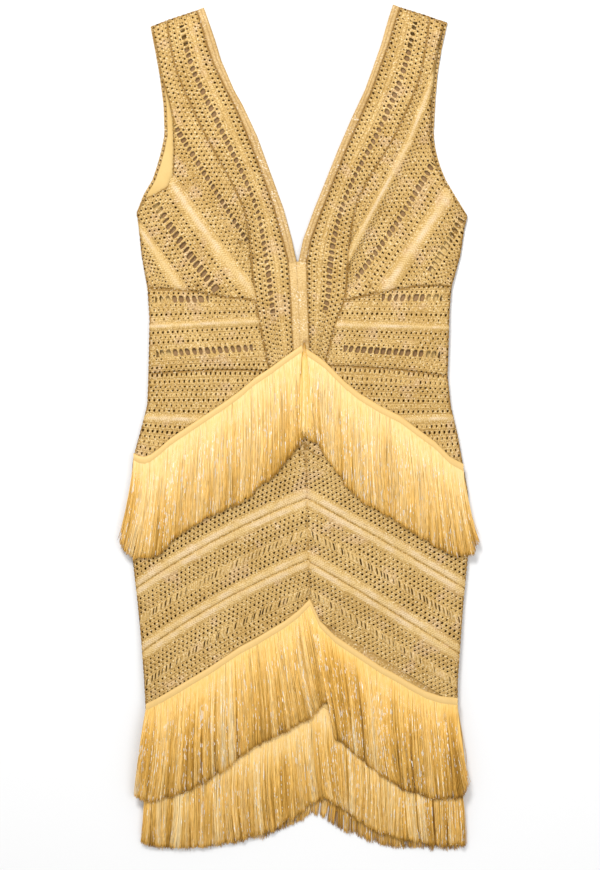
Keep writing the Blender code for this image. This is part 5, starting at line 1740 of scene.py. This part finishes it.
def knit_material(name, colours, roughness, glitter_glints=0.0, open_mesh=0.0):
    dark, light = colours
    s = Shader(name, roughness)
    base = s.ramp(s.noise(30.0, 2.0), ((0.3, dark), (0.7, light)))
    shaded = tuple(part * share for part, share in zip(dark, KNIT_SHADE))
    # Painted shade where the tone is low, in grooves and at edges
    base = s.mix(s.between(s.value("tone"), 0.6, -0.4), base, shaded)
    rib = s.yarn(3.0, 1.2)
    # Painted shade between the ribs
    base = s.mix(s.times(s.rest(rib), 0.18 + open_mesh), base, shaded)
    if glitter_glints:
        grain = s.noise(GRAIN, 2.0)
        base = s.mix(s.times(s.between(grain, 0.5, 0.36), 0.4), base, shaded)
        patch = s.between(s.noise(45.0, 1.0), 0.42, 0.62)
        lit = s.times(s.between(grain, 0.55, 0.7), s.math("ADD", patch, 0.3))
        # Bright specks of painted glint
        base = s.mix(s.times(lit, glitter_glints), base, KNIT_GLINT)
    s.feed(s.surface.inputs["Base Color"], base)
    s.bump(s.math("ADD", rib, s.noise(1800.0, 1.0)), 0.0002, 0.6)
    return s.material


def fringe_material():
    s = Shader("gold_fringe", 0.5)
    fine = s.times(s.math("SUBTRACT", s.noise(1300.0, 1.0, (1.0, 0.12, 1.0)), 0.5), 0.35)
    base = s.ramp(s.math("ADD", s.value("shade"), fine, clamp=True), FRINGE)
    base = s.mix(s.times(s.value("tone"), 0.75), base, TAPE)
    metal = s.value("glint")
    burst = s.between(s.noise(220.0, 1.0, (1.0, 0.8, 1.0), metal), 0.56, 0.61)
    cluster = s.between(s.noise(60.0, 1.0), 0.38, 0.5)
    glint = s.times(s.between(metal, 0.3, 0.55), s.times(burst, cluster))
    # Painted glints on the metallic strands
    base = s.mix(glint, base, GLINT_COLOUR)
    s.feed(s.surface.inputs["Base Color"], base)
    s.feed(s.surface.inputs["Roughness"], s.math("SUBTRACT", 0.52, s.times(glint, 0.25)))
    level = s.math("ADD", s.times(glint, 0.5), 0.5)
    s.feed(s.surface.inputs["Specular IOR Level"], level)
    return s.material


def make_materials():
    return {
        "crochet": crochet_material(),
        "binding": knit_material("gold_binding", BINDING_GOLD, 0.55, glitter_glints=0.55),
        "back_lining": knit_material("gold_jersey", JERSEY_GOLD, 0.6),
        "front_lining": knit_material("taupe_mesh", TAUPE, 0.8, open_mesh=0.3),
        "fringe": fringe_material(),
    }


# The size of one pixel of the photo, where the photo's centre lies and how high it is
PIXEL = 1.0676
PHOTO_CENTRE = (1.6, -9.07)
PHOTO_HEIGHT = 870 * PIXEL
CAMERA_DISTANCE = 3000.0
SENSOR = 36.0


def make_camera():
    data = bpy.data.cameras.new("camera")
    data.sensor_width = SENSOR
    data.lens = SENSOR * CAMERA_DISTANCE / PHOTO_HEIGHT
    camera = bpy.data.objects.new("camera", data)
    camera.location = Vector((*PHOTO_CENTRE, CAMERA_DISTANCE)) * MM
    bpy.context.scene.collection.objects.link(camera)
    bpy.context.scene.camera = camera


# The studio, in metres and watts. A light: name, place, width and power.
LIGHTS = (("key", (-0.5, 1.5, 1.7), 0.7, 42.0), ("fill", (0.9, -0.3, 2.0), 1.6, 12.0))
SKY = 0.55
FLOOR_HALF = 8.0
FLOOR_COLOUR = (0.87, 0.87, 0.87, 1.0)


def make_light(name, place, width, power):
    data = bpy.data.lights.new(name, "AREA")
    data.shape = "DISK"
    data.size = width
    data.energy = power
    light = bpy.data.objects.new(name, data)
    light.location = place
    light.rotation_euler = (-Vector(place)).to_track_quat("-Z", "Y").to_euler()
    bpy.context.scene.collection.objects.link(light)


def make_floor():
    mesh = bpy.data.meshes.new("floor")
    corners = [(x * FLOOR_HALF, y * FLOOR_HALF, 0) for x, y in ((-1, -1), (1, -1), (1, 1), (-1, 1))]
    mesh.from_pydata(corners, [], [(0, 1, 2, 3)])
    s = Shader("pale_floor", 0.9)
    s.surface.inputs["Base Color"].default_value = FLOOR_COLOUR
    mesh.materials.append(s.material)
    floor = bpy.data.objects.new("floor", mesh)
    bpy.context.scene.collection.objects.link(floor)


def make_studio():
    make_floor()
    world = bpy.data.worlds.new("studio")
    world.use_nodes = True
    background = world.node_tree.nodes["Background"]
    background.inputs["Color"].default_value = (1.0, 1.0, 1.0, 1.0)
    background.inputs["Strength"].default_value = SKY
    bpy.context.scene.world = world
    bpy.context.scene.view_settings.view_transform = "Standard"
    for light in LIGHTS:
        make_light(*light)


def main():
    make_camera()
    make_studio()
    materials = make_materials()
    for side in ("left", "right"):
        sheets = {"front": make_front(side, materials), "back": make_back(side, materials)}
        make_bindings(side, materials)
        make_linings(side, materials)
        make_fringe(side, materials, sheets)
    make_insert(materials)
    for piece, flat, area, rests_on, carried in SHEETS:
        area = min(area, flat[0] * flat[1])


main()
